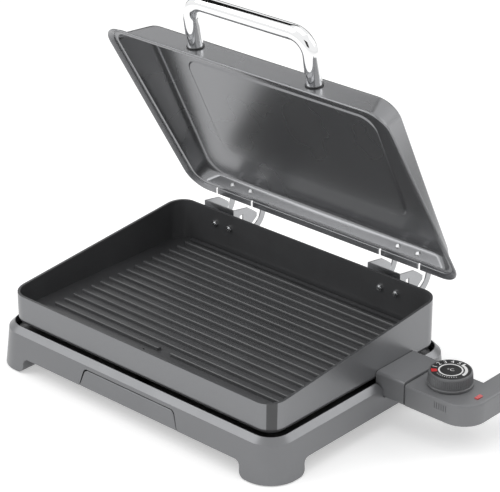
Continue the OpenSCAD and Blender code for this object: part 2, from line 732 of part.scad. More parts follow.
// The lid's dome, drawn inside or outside the sheet, with its walls' foot at a height above the flange
module dome(t, foot) {
    r = lid_corner - flange_w;
    round = panel_round - t;
    edge = round * (1 - sin(45));
    leans = [back_lean, side_lean, front_lean];
    into = [for (lean = leans) t / cos(lean)];
    // Insets of the walls from the panel's edges where the rounding starts, seen in the tilted plane
    wall = [for (i = [0:2])
        (into[i] - panel_round * tan(leans[i])) / (1 + (i - 1) * tan(panel_tilt) * tan(leans[i]))];
    hull() {
        translate([0, 0, foot - slab_h]) lid_slab(
            lid_inset(back_lean, foot, t), lid_inset(side_lean, foot, t), lid_inset(front_lean, foot, t), r - t);
        panel_slab(t + round, wall[0], wall[1], wall[2], r - t);
        panel_slab(t + edge, into[0] + edge * 0.6, into[1] + edge * 0.5, into[2] + edge * 0.3, r - t - edge);
        panel_slab(t, into[0] + round * 0.8, into[1] + round * 0.8, into[2] + round * 0.8, r - t - round * 0.6);
    }
}

// The field pressed into the panel, at a depth below the panel's outer face
module field(down, h, grow)
    translate([0, -panel_back, lid_back_h - down]) rotate([-panel_tilt, 0, 0])
        translate([0, panel_back - field_back - (lid_len - field_back - field_front) / 2, 0])
            linear_extrude(h) round_rect(
                2 * (lid_half - field_side + grow), lid_len - field_back - field_front + 2 * grow,
                field_round + grow);

module lid_shell() color("#6a6c70") at_origin() on_lid() difference() {
    ledge_in = flange_w - ledge_w;
    union() {
        lid_slab(0, 0, 0, lid_corner, lid_t);
        lid_slab(ledge_in, ledge_in, ledge_in, lid_corner - ledge_in, ledge_h);
        lid_slab(flange_w, flange_w, flange_w, lid_corner - flange_w, step_h + eps);
        dome(0, step_h);
        field(1, 1 + field_rise, 0);
    }
    for (level = [[ledge_in + lid_t, ledge_h - lid_t], [flange_w + lid_t, step_h]])
        translate([0, 0, -1]) lid_slab(level[0], level[0], level[0], lid_corner - level[0], level[1] + 1);
    dome(lid_t, step_h - 1);
    field(lid_t + 1, 1 + field_rise, -lid_t);
    both_hinges() {
        for (e = [ear_left, ear_right]) translate([e + hinge_t / 2, 0, 0])
            cube([12, 2 * (flange_w - 0.4), 8], center = true);
        for (s = [-1, 1]) on_back_wall() translate([s * rivet_span / 2, 0, 0])
            cylinder(h = 20, r = 2.05, center = true);
    }
    mirror_x() on_front_wall() cylinder(h = 20, r = 2.3, center = true);
}

// A frame on the outside of the back wall, rivet_n above the flange, with Z pointing away from it
module on_back_wall()
    translate([0, -flange_w - (rivet_n - step_h) * tan(back_lean), rivet_n])
        rotate([-90 + back_lean, 0, 0]) children();

// A frame on the outside of the front wall, at a handle's foot, with Z pointing away from it
module on_front_wall()
    translate([handle_span / 2, -lid_len + flange_w + (handle_h - step_h) * tan(front_lean), handle_h])
        rotate([90 - front_lean, 0, 0]) children();

// Outline of a lid arm, Y and Z measured from the pivot with the lid closed and level:
// a hook that rises behind the pivot and runs forward over the flange to the back wall
module arm_profile() {
    leave = 16;
    wall_y = -pivot_v - flange_w;
    wall_z0 = step_h - pivot_n;
    difference() {
        union() {
            circle(7);
            translate([arm_cy, arm_bend]) difference() {
                circle(arm_bend + arm_w / 2);
                circle(arm_bend - arm_w / 2);
                polygon([[0, 0], 99 * [-sin(leave), cos(leave)], [-99, 99], [-99, -99], [0, -99]]);
            }
            translate([arm_cy - arm_bend * sin(leave), arm_bend + arm_bend * cos(leave)]) rotate(180 + leave)
                translate([0, -arm_w / 2]) square([60, arm_w]);
        }
        circle(pin_r + pin_gap);
        translate([wall_y, wall_z0]) rotate(back_lean) translate([-100, -60]) square([100, 160]);
    }
}

module lid_hinge(x) color("#b4b6b8") at_origin() on_lid() translate([x, 0, 0]) difference() {
    from = ear_left - arm_gap - hinge_t;
    to = ear_right + hinge_t + arm_gap;
    union() {
        on_back_wall() translate([from, -6, 0]) cube([rivet_span / 2 + 6 - from, 12.5, hinge_t]);
        for (e = [from, to])
            translate([e, pivot_v, pivot_n]) rotate([90, 0, 90]) linear_extrude(hinge_t) arm_profile();
    }
    for (s = [-1, 1]) on_back_wall() translate([s * rivet_span / 2, 0, 0])
        cylinder(h = 20, r = 2.05, center = true);
}

module lid_hinge_left() lid_hinge(-hinge_x);
module lid_hinge_right() lid_hinge(hinge_x);

module lid_rivets() color("#c0c2c4") at_origin() on_lid() both_hinges() for (s = [-1, 1])
    on_back_wall() translate([s * rivet_span / 2, 0, 0]) {
        translate([0, 0, -lid_t]) cylinder(h = lid_t + hinge_t, r = 2);
        translate([0, 0, hinge_t]) cylinder(h = 1.2, r1 = 3, r2 = 2.2);
        translate([0, 0, -lid_t - 1.2]) cylinder(h = 1.2, r1 = 2.2, r2 = 3.2);
    }

// Handle

// The handle's own frame: X along the grip, Y away from the lid
module on_handle() translate([0, -lid_len + flange_w + (handle_h - step_h) * tan(front_lean), handle_h])
    rotate([180 - handle_lean, 0, 0]) children();

// All that lies more than a height outside the front wall
module outside_wall(height) translate([-handle_span / 2, 0, 0]) on_front_wall()
    translate([-pan_l, -100, height]) cube([2 * pan_l, 200, 200]);

module handle_path(r)
    tube_run([
        [-handle_span / 2, -12], [-handle_span / 2, handle_reach],
        [handle_span / 2, handle_reach], [handle_span / 2, -12]
    ], r, handle_bend);

module handle_tube() color("#dfe1e3") at_origin() on_lid() intersection() {
    on_handle() difference() {
        handle_path(handle_r);
        handle_path(handle_r - handle_t);
    }
    outside_wall(collar_t);
}

module handle_inserts() color("#9a9c9f") at_origin() on_lid() intersection() {
    on_handle() for (s = [-1, 1]) translate([s * handle_span / 2, 14, 0]) rotate([90, 0, 0])
        difference() {
            cylinder(h = 26, r = handle_r - handle_t - 0.05);
            cylinder(h = 60, r = 2.05, center = true);
        }
    outside_wall(collar_t);
}

module handle_collars() color("#2a2b2d") at_origin() on_lid() mirror_x() on_front_wall() difference() {
    cylinder(h = collar_t, r = handle_r + 1);
    cylinder(h = 10, r = 2.4, center = true);
}

module handle_screws() color("#b5b7b9") at_origin() on_lid() mirror_x() on_front_wall()
    translate([0, 0, -lid_t]) mirror([0, 0, 1]) {
        cylinder(h = 1.4, r = 5);
        translate([0, 0, 1.4 - eps]) cylinder(h = 1.1, r1 = 5, r2 = 3.2);
        translate([0, 0, -lid_t - collar_t + eps]) cylinder(h = lid_t + collar_t, r = 2);
    }

// Thermostat

module connector_block() color("#65676a") at_origin() difference() {
    translate([block_x, probe_y, probe_z + block_h / 2]) rotate([90, 0, 90]) linear_extrude(block_l)
        round_rect(block_w, block_h, 3.5);
    for (s = [-1, 1]) translate([block_x - 1, probe_y + s * terminal_span / 2, terminal_z])
        rotate([0, 90, 0]) cylinder(h = 31, r = terminal_r + 1.1);
    translate([block_x - 1, probe_y, terminal_z]) rotate([0, 90, 0]) cylinder(h = 16, r = terminal_r);
}

module contact_sleeves() color("#c9a66b") at_origin()
    for (s = [-1, 1]) translate([block_x + 1, probe_y + s * terminal_span / 2, terminal_z])
        rotate([0, 90, 0]) difference() {
            cylinder(h = 28, r = terminal_r + 1.05);
            translate([0, 0, -1]) cylinder(h = 27, r = terminal_r + 0.3);
        }

module sensing_rod() color("#b9bbbd") at_origin()
    translate([block_x - 34, probe_y, terminal_z]) rotate([0, 90, 0]) {
        cylinder(h = 34 + 14.5, r = terminal_r - 0.02);
        translate([0, 0, -2]) cylinder(h = 2, r1 = terminal_r - 1.2, r2 = terminal_r - 0.02);
    }

// One level of the housing's outline, drawn inward by an inset
module housing_slab(inset) linear_extrude(slab_h) {
    r = 3.2;
    small = r - 0.85 * inset;
    for (p = [
        [housing_x + r, block_front + r],
        [housing_x + r, block_front + housing_w - r],
        [housing_end - r, block_front + housing_w - r]
    ]) translate(p) circle(small, $fn = blend_fn);
    translate([housing_end - nose_r, block_front + nose_r]) circle(nose_r - inset, $fn = blend_fn);
}

module tail_slab(inset) linear_extrude(slab_h) {
    r = tail_w / 2;
    for (s = [-1, 1]) translate([tail_x + r + s * (r - 5.5), block_front + housing_w - 20])
        circle(5.5 - inset, $fn = blend_fn);
    translate([tail_x + r, tail_y - r]) circle(r - inset, $fn = blend_fn);
}

// The housing's solid between two heights, with an edge rounded at its top or its underside
module housing_solid(from, to, grow, round_top) {
    r = 2.6 - 0.6 * grow;
    edge = round_top ? to - slab_h : from;
    way = round_top ? -1 : 1;
    for (part = [0, 1]) hull() {
        for (level = [[r, grow], [r * 0.3, grow + r * 0.3], [0, grow + r]])
            translate([0, 0, edge + way * level[0]])
                if (part == 0) housing_slab(level[1]); else tail_slab(level[1]);
        translate([0, 0, round_top ? from : to - slab_h])
            if (part == 0) housing_slab(grow); else tail_slab(grow);
    }
}

// The hole that the gland's neck sits in, half in each shell
module gland_hole() translate([tail_x + tail_w / 2, tail_y - 6, outlet_z]) rotate([-90, 0, 0])
    cylinder(h = 20, r = outlet_r + 3.05);

module housing_lower() color("#626468") at_origin() difference() {
    union() {
        difference() {
            housing_solid(probe_z, split_z, 0, false);
            housing_solid(probe_z + housing_t, split_z + 1, 0.8 * housing_t, false);
        }
        for (p = screw_points) translate([p[0], p[1], probe_z + 1]) cylinder(h = split_z - probe_z - 1, r = 3.5);
        translate([dial_x - 17, dial_y - 15, probe_z + 1]) cube([34, 30, 3]);
    }
    for (p = screw_points) translate([p[0], p[1], probe_z - 1]) cylinder(h = 40, r = 1.7);
    gland_hole();
}

module housing_upper() color("#696b6f") at_origin() difference() {
    union() {
        difference() {
            housing_solid(split_z, housing_top, 0, true);
            housing_solid(split_z - 1, housing_top - housing_t, 0.8 * housing_t, true);
        }
        for (p = screw_points) translate([p[0], p[1], split_z]) cylinder(h = housing_top - split_z - 1, r = 3.5);
    }
    for (p = screw_points) translate([p[0], p[1], split_z - 1]) cylinder(h = 9, r = 1.5);
    translate([dial_x, dial_y, split_z]) cylinder(h = 30, r = 3.5);
    translate([lens_x, lens_y, housing_top - 5]) linear_extrude(10) round_rect(5, 10, 1.2);
    gland_hole();
    // Fine upright grooves that give the fingers hold when the plug is pulled
    for (i = [0:5]) translate([housing_end - nose_r - 17 + i * 3, block_front - 0.6, split_z - 1])
        cube([1.2, 1.2, housing_top - split_z - 4]);
}

module housing_screws() color("#9a9c9f") at_origin() for (p = screw_points)
    translate([p[0], p[1], probe_z]) mirror([0, 0, 1]) screw(3, 1.6, 1.45, split_z - probe_z + 7);

module cord_gland() color("#27282a") at_origin()
    translate([tail_x + tail_w / 2, tail_y - 6, outlet_z]) rotate([-90, 0, 0]) difference() {
        union() {
            translate([0, 0, -1]) cylinder(h = 7 + 1, r = outlet_r + 3);
            translate([0, 0, 6.1]) cylinder(h = 2.4, r = outlet_r + 4.6);
        }
        translate([0, 0, -2]) cylinder(h = 20, r = outlet_r);
    }

module thermostat() color("#c7b58a") at_origin() {
    translate([dial_x - 15, dial_y - 13, probe_z + 4.2]) cube([30, 26, 9]);
    translate([dial_x, dial_y, probe_z + 13]) cylinder(h = 3, r = 5);
}

module indicator_lens() color("#c8202a") at_origin()
    translate([lens_x, lens_y, housing_top - 1.8]) {
        linear_extrude(3) round_rect(4.8, 9.8, 1.1);
        translate([0, 0, -0.8]) linear_extrude(1) round_rect(4, 8, 1.1);
    }

module dial_knob() color("#232426") at_origin() translate([dial_x, dial_y, dial_z]) difference() {
    rotate_extrude($fn = 96) polygon(concat(
        [[0, 0], [dial_r - 0.6, 0], [dial_r, 0.8], [dial_r - 0.4, 3.2], [dial_r - 1.6, 4.4]],
        arc(dial_r - 3.2, dial_h - 1.2, 1.2, 0, 90, 4),
        [[dial_r - 3.4, dial_h], [dial_r - 3.8, dial_h - 1], [0, dial_h - 1]]
    ));
    translate([0, 0, -1]) cylinder(h = dial_h - 6, r = 3.05);
    difference() {
        translate([0, 0, -1]) cylinder(h = dial_h - 5, r = dial_r - 4.2);
        translate([0, 0, -2]) cylinder(h = dial_h, r = 6);
    }
}

module dial_plate() color("#1d1e20") at_origin() translate([dial_x, dial_y, dial_z + dial_h - 1])
    cylinder(h = 0.6, r = dial_r - 3.9);

module dial_spindle() color("#b9bbbd") at_origin() translate([dial_x, dial_y, probe_z + 16.2])
    cylinder(h = dial_z + dial_h - 7.4 - probe_z - 16.2, r = 3);

base_shell();
bottom_cover();
rubber_feet();
heat_reflector();
base_screws();
drip_tray();
tray_front();
grill_pan();
heating_element();
element_clips();
terminal_insulator();
terminal_pins();
hinge_bracket_left();
hinge_bracket_right();
hinge_screws();
hinge_nuts();
hinge_pin_left();
hinge_pin_right();
lid_shell();
lid_hinge_left();
lid_hinge_right();
lid_rivets();
handle_tube();
handle_inserts();
handle_collars();
handle_screws();
connector_block();
contact_sleeves();
sensing_rod();
housing_lower();
housing_upper();
housing_screws();
cord_gland();
thermostat();
indicator_lens();
dial_knob();
dial_plate();
dial_spindle();
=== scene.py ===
"""Looks of the electric indoor grill: finishes, rounded edges, a drawn lid and dial, and a studio.

The CAD model is loaded as a fixed frame. Every piece is in metres, in that frame.
"""

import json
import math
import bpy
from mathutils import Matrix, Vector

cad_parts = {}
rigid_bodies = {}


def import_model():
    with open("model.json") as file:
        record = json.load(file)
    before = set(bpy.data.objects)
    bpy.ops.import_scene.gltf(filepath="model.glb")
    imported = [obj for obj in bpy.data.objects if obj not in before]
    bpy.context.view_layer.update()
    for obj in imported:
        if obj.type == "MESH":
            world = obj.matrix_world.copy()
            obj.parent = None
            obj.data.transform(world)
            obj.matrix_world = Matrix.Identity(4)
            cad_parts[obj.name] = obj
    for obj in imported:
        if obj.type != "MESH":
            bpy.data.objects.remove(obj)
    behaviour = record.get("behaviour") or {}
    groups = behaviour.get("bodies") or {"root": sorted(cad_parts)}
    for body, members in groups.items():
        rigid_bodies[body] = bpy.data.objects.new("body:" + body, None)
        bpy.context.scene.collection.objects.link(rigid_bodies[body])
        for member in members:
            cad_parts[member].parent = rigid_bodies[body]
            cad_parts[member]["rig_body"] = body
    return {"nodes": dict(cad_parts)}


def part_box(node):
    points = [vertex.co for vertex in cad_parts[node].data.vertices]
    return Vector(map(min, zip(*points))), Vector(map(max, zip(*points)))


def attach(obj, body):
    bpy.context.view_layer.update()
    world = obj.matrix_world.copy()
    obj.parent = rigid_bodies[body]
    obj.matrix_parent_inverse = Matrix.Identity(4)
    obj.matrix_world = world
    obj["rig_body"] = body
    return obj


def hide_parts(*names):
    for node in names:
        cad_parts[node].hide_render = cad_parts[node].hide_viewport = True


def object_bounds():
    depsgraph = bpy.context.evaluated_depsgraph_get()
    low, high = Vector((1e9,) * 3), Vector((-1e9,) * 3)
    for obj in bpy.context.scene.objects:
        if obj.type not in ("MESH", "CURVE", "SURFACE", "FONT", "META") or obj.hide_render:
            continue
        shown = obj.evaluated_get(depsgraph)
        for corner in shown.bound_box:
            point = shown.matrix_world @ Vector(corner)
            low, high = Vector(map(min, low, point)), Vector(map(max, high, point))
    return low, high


bl_info = {
    "name": "Electric Indoor Grill",
    "version": (1, 0, 0),
    "blender": (4, 5, 0),
    "location": "3D View > Sidebar > Grill",
    "description": "Dresses the grill's CAD frame with finishes, a lid, a dial and a studio",
    "category": "Object",
}

import bmesh
import bpy
from mathutils import Matrix, Vector

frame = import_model()
CAD_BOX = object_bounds()
MM = 0.001

PAN_LOW, PAN_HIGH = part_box("grill_pan")
KNOB_LOW, KNOB_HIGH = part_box("dial_knob")
FACE_LOW, FACE_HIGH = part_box("dial_plate")
PAN_MIDDLE = (PAN_LOW + PAN_HIGH) / 2


# Properties


def length_property(name, description, millimetres):
    """A length whose default is given in millimetres."""
    return bpy.props.FloatProperty(
        name=name, description=description, default=millimetres * MM, unit="LENGTH")


def angle_property(name, description, degrees):
    """An angle whose default is given in degrees."""
    return bpy.props.FloatProperty(
        name=name, description=description, default=math.radians(degrees), subtype="ANGLE")


def colour_property(name, description, value):
    """A colour, as linear values."""
    return bpy.props.FloatVectorProperty(
        name=name, description=description, default=value,
        subtype="COLOR", size=3, min=0, max=1)


class GrillSizes(bpy.types.PropertyGroup):
    """Sizes that the looks add to the CAD model"""

    shell_edge: length_property(
        "Shell edge", "Rounding of the mouldings' and castings' edges", 0.5)
    housing_edge: length_property(
        "Housing edge", "Rounding of the thermostat shells' edges", 2.0)
    sheet_edge: length_property(
        "Sheet edge", "Rounding of the sheet metal's edges", 0.25)
    pan_wall: length_property(
        "Pan wall", "Thickness of the pan's walls, which parts the two finishes", 3)
    ridge_count: bpy.props.IntProperty(
        name="Ridges", description="Ridges round the dial's grip", default=64)
    ridge_depth: length_property("Ridge depth", "Depth of the grip's ridges", 0.9)
    print_height: length_property("Print height", "Thickness of the ink on the dial", 0.05)
    numeral_size: length_property("Numerals", "Height of the dial's numerals", 8.4)


class GrillLid(bpy.types.PropertyGroup):
    """The lid's form, measured from the flange's edge and its underside"""

    half: length_property("Half width", "From the middle to the flange's side edge", 206.84)
    length: length_property("Length", "From the flange's hinge edge to its handle edge", 287.65)
    corner: length_property("Corner", "Radius of the flange's corners", 28)
    hinge_behind: length_property(
        "Hinge behind", "From the flange's hinge edge back to the pivot", 14.45)
    hinge_below: length_property(
        "Hinge below", "From the flange's underside down to the pivot", 22.69)
    opened: angle_property("Opened", "Turn of the lid about its pivot", 59.13)
    sheet: length_property("Sheet", "Thickness of the lid's sheet", 1.5)
    flange: length_property("Flange", "Width of the flange", 11)
    roll: length_property("Roll", "Radius of the flange's rolled edge", 1.1)
    lip_rise: length_property("Lip rise", "Rise of the flange from its edge to the ledge", 2.9)
    ledge_from: length_property("Ledge from", "Where the ledge inside the flange starts", 6.8)
    ledge_high: length_property("Ledge height", "Height of the ledge's underside", 4.5)
    step_high: length_property("Step height", "Height of the walls' foot", 5.5)
    back_high: length_property("Back height", "Height of the panel's hinge edge", 21.8)
    front_high: length_property("Front height", "Height of the panel's handle edge", 42)
    panel_back: length_property("Panel back", "Inset of the panel's hinge edge", 15.3)
    panel_side: length_property("Panel side", "Inset of the panel's side edges", 22.75)
    panel_front: length_property("Panel front", "Inset of the panel's handle edge", 27.7)
    panel_corner: length_property("Panel corner", "Radius of the panel's corners", 25)
    panel_round: length_property(
        "Panel round", "Rounding between the panel and the walls", 6)
    field_back: length_property("Field back", "Inset of the pressed field's hinge edge", 61)
    field_side: length_property("Field side", "Inset of the pressed field's side edges", 68)
    field_front: length_property("Field front", "Inset of the pressed field's handle edge", 70)
    field_corner: length_property("Field corner", "Radius of the pressed field's corners", 20)
    field_rise: length_property(
        "Field rise", "How far the field is pressed towards the food", 1.6)
    slot_deep: length_property(
        "Slot depth", "How far the hinge slots reach in from the flange's edge", 7.5)
    slot_wide: length_property("Slot width", "Width of the hinge slots", 3.6)


class GrillColours(bpy.types.PropertyGroup):
    """Colours of the finishes, as linear values"""

    base: colour_property("Base", "Moulded stand and tray front", (0.215, 0.218, 0.226))
    pan: colour_property("Pan", "Coating on the pan's outside", (0.235, 0.238, 0.246))
    non_stick: colour_property("Non-stick", "Coating inside the pan", (0.072, 0.073, 0.076))
    lid: colour_property("Lid", "Coating of the lid", (0.270, 0.273, 0.282))
    housing: colour_property("Housing", "Thermostat's shells", (0.235, 0.238, 0.246))
    dial: colour_property("Dial", "Dial's body", (0.150, 0.152, 0.157))
    ink: colour_property("Ink", "White print on the dial", (0.86, 0.86, 0.86))
    red: colour_property("Red", "Red print and indicator", (0.62, 0.022, 0.026))


class GrillStage(bpy.types.PropertyGroup):
    """The photograph's camera and the studio's light"""

    azimuth: angle_property("Azimuth", "Turn of the camera from the front to the right", 42.18)
    elevation: angle_property("Elevation", "Height of the camera above the horizon", 25.64)
    lens: bpy.props.FloatProperty(
        name="Lens", description="Focal length on a 36 mm sensor", default=158.58, unit="CAMERA")
    distance: bpy.props.FloatProperty(
        name="Distance", description="From the camera to the plane of its aim",
        default=2.52067, unit="LENGTH")
    aim_right: bpy.props.FloatProperty(
        name="Aim right", description="Camera's offset to its right",
        default=0.03097, unit="LENGTH")
    aim_up: bpy.props.FloatProperty(
        name="Aim up", description="Camera's offset along its up direction",
        default=0.15475, unit="LENGTH")
    centre: bpy.props.FloatVectorProperty(
        name="Aim's centre", description="Point that the camera's offsets are measured from",
        default=(-0.055181, -0.023329, -0.011), unit="LENGTH")
    key: bpy.props.FloatProperty(
        name="Key", description="Power of the large lamp at the front left",
        default=15, unit="POWER")
    rim: bpy.props.FloatProperty(
        name="Rim", description="Power of the lamp behind the right side",
        default=12, unit="POWER")
    top: bpy.props.FloatProperty(
        name="Top", description="Power of the lamp overhead", default=7, unit="POWER")
    ambient: bpy.props.FloatProperty(
        name="Ambient", description="Strength of the even light from all round", default=0.55)


# Finishes


def new_material(name, colour, roughness, metallic=0.0):
    """A material with uniform values on its shader. Returns it with its tree and shader."""
    material = bpy.data.materials.new(name)
    material.use_nodes = True
    tree = material.node_tree
    shader = tree.nodes["Principled BSDF"]
    shader.inputs["Base Color"].default_value = (*colour, 1)
    shader.inputs["Roughness"].default_value = roughness
    shader.inputs["Metallic"].default_value = metallic
    return material, tree, shader


def noise(tree, scale, detail, stretch=(1, 1, 1)):
    """Noise over the piece's own space. The scale is in features a metre."""
    place = tree.nodes.new("ShaderNodeTexCoord")
    fit = tree.nodes.new("ShaderNodeMapping")
    fit.inputs["Scale"].default_value = stretch
    cloud = tree.nodes.new("ShaderNodeTexNoise")
    cloud.inputs["Scale"].default_value = scale
    cloud.inputs["Detail"].default_value = detail
    tree.links.new(place.outputs["Object"], fit.inputs["Vector"])
    tree.links.new(fit.outputs["Vector"], cloud.inputs["Vector"])
    return cloud.outputs["Fac"]


def specks(tree, scale, size):
    """Small round spots over the piece's own space: 1 inside a spot and 0 outside."""
    place = tree.nodes.new("ShaderNodeTexCoord")
    cells = tree.nodes.new("ShaderNodeTexVoronoi")
    cells.inputs["Scale"].default_value = scale
    edge = tree.nodes.new("ShaderNodeMapRange")
    edge.inputs["From Min"].default_value = size
    edge.inputs["From Max"].default_value = size * 0.5
    tree.links.new(place.outputs["Object"], cells.inputs["Vector"])
    tree.links.new(cells.outputs["Distance"], edge.inputs["Value"])
    return edge.outputs["Result"]


def vary_colour(tree, shader, factor, spread):
    """Lets the shader's colour drift darker and lighter by about a share of itself.

    Noise seldom leaves its middle half, so the ramp's ends lie at twice the share.
    """
    colour = shader.inputs["Base Color"].default_value[:3]
    ramp = tree.nodes.new("ShaderNodeValToRGB")
    for stop, level in zip(ramp.color_ramp.elements, (1 - 2 * spread, 1 + 2 * spread)):
        stop.color = (*(c * level for c in colour), 1)
    tree.links.new(factor, ramp.inputs["Fac"])
    tree.links.new(ramp.outputs["Color"], shader.inputs["Base Color"])


def overlay_colour(tree, shader, factor, colour):
    """Lays a second colour over the varied base colour where a factor is 1."""
    mix = tree.nodes.new("ShaderNodeMix")
    mix.data_type = "RGBA"
    under = shader.inputs["Base Color"]
    tree.links.new(under.links[0].from_socket, mix.inputs["A"])
    mix.inputs["B"].default_value = (*colour, 1)
    tree.links.new(factor, mix.inputs["Factor"])
    tree.links.new(mix.outputs["Result"], under)


def vary_roughness(tree, shader, factor, low, high):
    """Lets the roughness drift between about two values.

    Noise seldom leaves its middle half, so the range's ends lie further out by half of it.
    """
    spread = tree.nodes.new("ShaderNodeMapRange")
    spread.inputs["To Min"].default_value = low - (high - low) / 2
    spread.inputs["To Max"].default_value = high + (high - low) / 2
    tree.links.new(factor, spread.inputs["Value"])
    tree.links.new(spread.outputs["Result"], shader.inputs["Roughness"])


def add_bump(tree, shader, height, strength, depth):
    """Raises a height pattern on the surface."""
    bump = tree.nodes.new("ShaderNodeBump")
    bump.inputs["Strength"].default_value = strength
    bump.inputs["Distance"].default_value = depth
    tree.links.new(height, bump.inputs["Height"])
    tree.links.new(bump.outputs["Normal"], shader.inputs["Normal"])


def satin_coat(name, colour, roughness, metallic):
    """Satin metallic coating with a slow drift of gloss."""
    material, tree, shader = new_material(name, colour, roughness, metallic)
    vary_roughness(tree, shader, noise(tree, 12, 2), roughness - 0.015, roughness + 0.015)
    return material


def moulded_plastic(name, colour, roughness, metallic=0.0, grain=0.12):
    """Moulded plastic with the fine spark texture of its tool."""
    material, tree, shader = new_material(name, colour, roughness, metallic)
    vary_colour(tree, shader, noise(tree, 14, 4), 0.03)
    vary_roughness(tree, shader, noise(tree, 30, 4), roughness - 0.04, roughness + 0.04)
    add_bump(tree, shader, noise(tree, 1700, 3), grain, 0.12 * MM)
    return material


def non_stick(name, colour):
    """Sprayed non-stick coating: dark, finely pebbled, with faint pale specks."""
    material, tree, shader = new_material(name, colour, 0.34)
    shader.inputs["Specular IOR Level"].default_value = 0.55
    vary_colour(tree, shader, noise(tree, 22, 5), 0.12)
    overlay_colour(tree, shader, specks(tree, 420, 0.10), tuple(3.2 * c for c in colour))
    vary_roughness(tree, shader, noise(tree, 35, 5), 0.28, 0.40)
    add_bump(tree, shader, noise(tree, 900, 3), 0.16, 0.12 * MM)
    return material


def sheet_metal(name, colour, roughness, stretch=(1, 1, 1)):
    """Bare or plated metal with the fine lines of rolling or brushing along one direction."""
    material, tree, shader = new_material(name, colour, roughness, 1.0)
    lines = noise(tree, 900, 3, stretch)
    vary_colour(tree, shader, lines, 0.05)
    vary_roughness(tree, shader, noise(tree, 45, 4), roughness - 0.05, roughness + 0.06)
    add_bump(tree, shader, lines, 0.08, 0.05 * MM)
    return material


def polished_chrome(name):
    """Polished chrome with the slightest haze."""
    material, tree, shader = new_material(name, (0.88, 0.885, 0.89), 0.05, 1.0)
    vary_roughness(tree, shader, noise(tree, 60, 4), 0.035, 0.07)
    return material


def heated_metal(name):
    """Element sheath, darkened and mottled by heat."""
    material, tree, shader = new_material(name, (0.20, 0.185, 0.175), 0.5, 0.8)
    vary_colour(tree, shader, noise(tree, 60, 5), 0.3)
    vary_roughness(tree, shader, noise(tree, 120, 4), 0.42, 0.62)
    return material


def unglazed_ceramic(name):
    """Pale, matt ceramic with a fine grain."""
    material, tree, shader = new_material(name, (0.72, 0.69, 0.62), 0.75)
    vary_colour(tree, shader, noise(tree, 200, 4), 0.06)
    add_bump(tree, shader, noise(tree, 1500, 3), 0.25, 0.15 * MM)
    return material


def soft_rubber(name):
    """Black rubber, matt and finely grained."""
    material, tree, shader = new_material(name, (0.022, 0.022, 0.023), 0.8)
    vary_colour(tree, shader, noise(tree, 60, 4), 0.2)
    add_bump(tree, shader, noise(tree, 1200, 3), 0.25, 0.15 * MM)
    return material


def red_lens(name, colour):
    """Clear red cap: glossy, its red drifting paler and darker at random."""
    material, tree, shader = new_material(name, colour, 0.12)
    shader.inputs["Coat Weight"].default_value = 0.6
    shader.inputs["Coat Roughness"].default_value = 0.05
    vary_colour(tree, shader, noise(tree, 260, 2), 0.18)
    return material


def printed_ink(name, colour):
    """Printed ink, a little uneven."""
    material, tree, shader = new_material(name, colour, 0.45)
    vary_colour(tree, shader, noise(tree, 900, 3), 0.04)
    return material


def make_finishes(colours):
    """All finishes by the name of their material slot in the record, with those added here."""
    return {
        "base_plastic": moulded_plastic(
            "Satin grey moulding", colours.base, 0.34, metallic=0.50),
        "pan_paint": satin_coat("Satin grey coating", colours.pan, 0.30, metallic=0.70),
        "lid_paint": satin_coat("Lid coating", colours.lid, 0.27, metallic=0.75),
        "tray_coat": non_stick("Tray coating", (0.05, 0.051, 0.054)),
        "housing_plastic": moulded_plastic(
            "Thermostat moulding", colours.housing, 0.38, metallic=0.25),
        "dark_plastic": moulded_plastic("Black moulding", (0.03, 0.03, 0.032), 0.48),
        "sheet_steel": sheet_metal(
            "Plated sheet", (0.42, 0.425, 0.435), 0.34, stretch=(0.08, 1, 1)),
        "fastener_steel": sheet_metal("Plated fasteners", (0.66, 0.665, 0.675), 0.26),
        "chrome_plate": polished_chrome("Polished chrome"),
        "element_metal": heated_metal("Heated sheath"),
        # The heat reflector's sheet is painted dark as painted shade: it is seen only through the
        # shaded gap under the pan.
        "reflector_sheet": sheet_metal(
            "Mill sheet in painted shade", (0.22, 0.22, 0.225), 0.45, stretch=(1, 0.05, 1)),
        "ceramic": unglazed_ceramic("Unglazed ceramic"),
        "contact_brass": sheet_metal("Contact brass", (0.70, 0.52, 0.26), 0.3),
        "pad_rubber": soft_rubber("Pad rubber"),
        "lens_red": red_lens("Red lens", colours.red),
        "dial_face": moulded_plastic("Dial face", (0.010, 0.010, 0.011), 0.42, grain=0.04),
        "pan_inside": non_stick("Non-stick coating", colours.non_stick),
        "dial_body": moulded_plastic(
            "Dial moulding", colours.dial, 0.34, metallic=0.1, grain=0.06),
        "white_ink": printed_ink("White ink", colours.ink),
        "red_ink": printed_ink("Red ink", colours.red),
    }


FINISH = {}


# CAD nodes that keep their own shape, each with its material slot

STAND = {
    "base_shell": "base_plastic",
    "tray_front": "base_plastic",
    "drip_tray": "tray_coat",
    "bottom_cover": "dark_plastic",
    "base_screws": "fastener_steel",
    "rubber_feet": "pad_rubber",
    "heat_reflector": "reflector_sheet",
}
HEATER = {
    "heating_element": "element_metal",
    "element_clips": "fastener_steel",
    "terminal_insulator": "ceramic",
    "terminal_pins": "fastener_steel",
}
HINGES = {
    "hinge_bracket_left": "sheet_steel",
    "hinge_bracket_right": "sheet_steel",
    "lid_hinge_left": "sheet_steel",
    "lid_hinge_right": "sheet_steel",
    "hinge_pin_left": "fastener_steel",
    "hinge_pin_right": "fastener_steel",
    "hinge_screws": "fastener_steel",
    "hinge_nuts": "fastener_steel",
    "lid_rivets": "fastener_steel",
}
HANDLE = {
    "handle_tube": "chrome_plate",
    "handle_collars": "dark_plastic",
    "handle_screws": "fastener_steel",
    "handle_inserts": "fastener_steel",
}
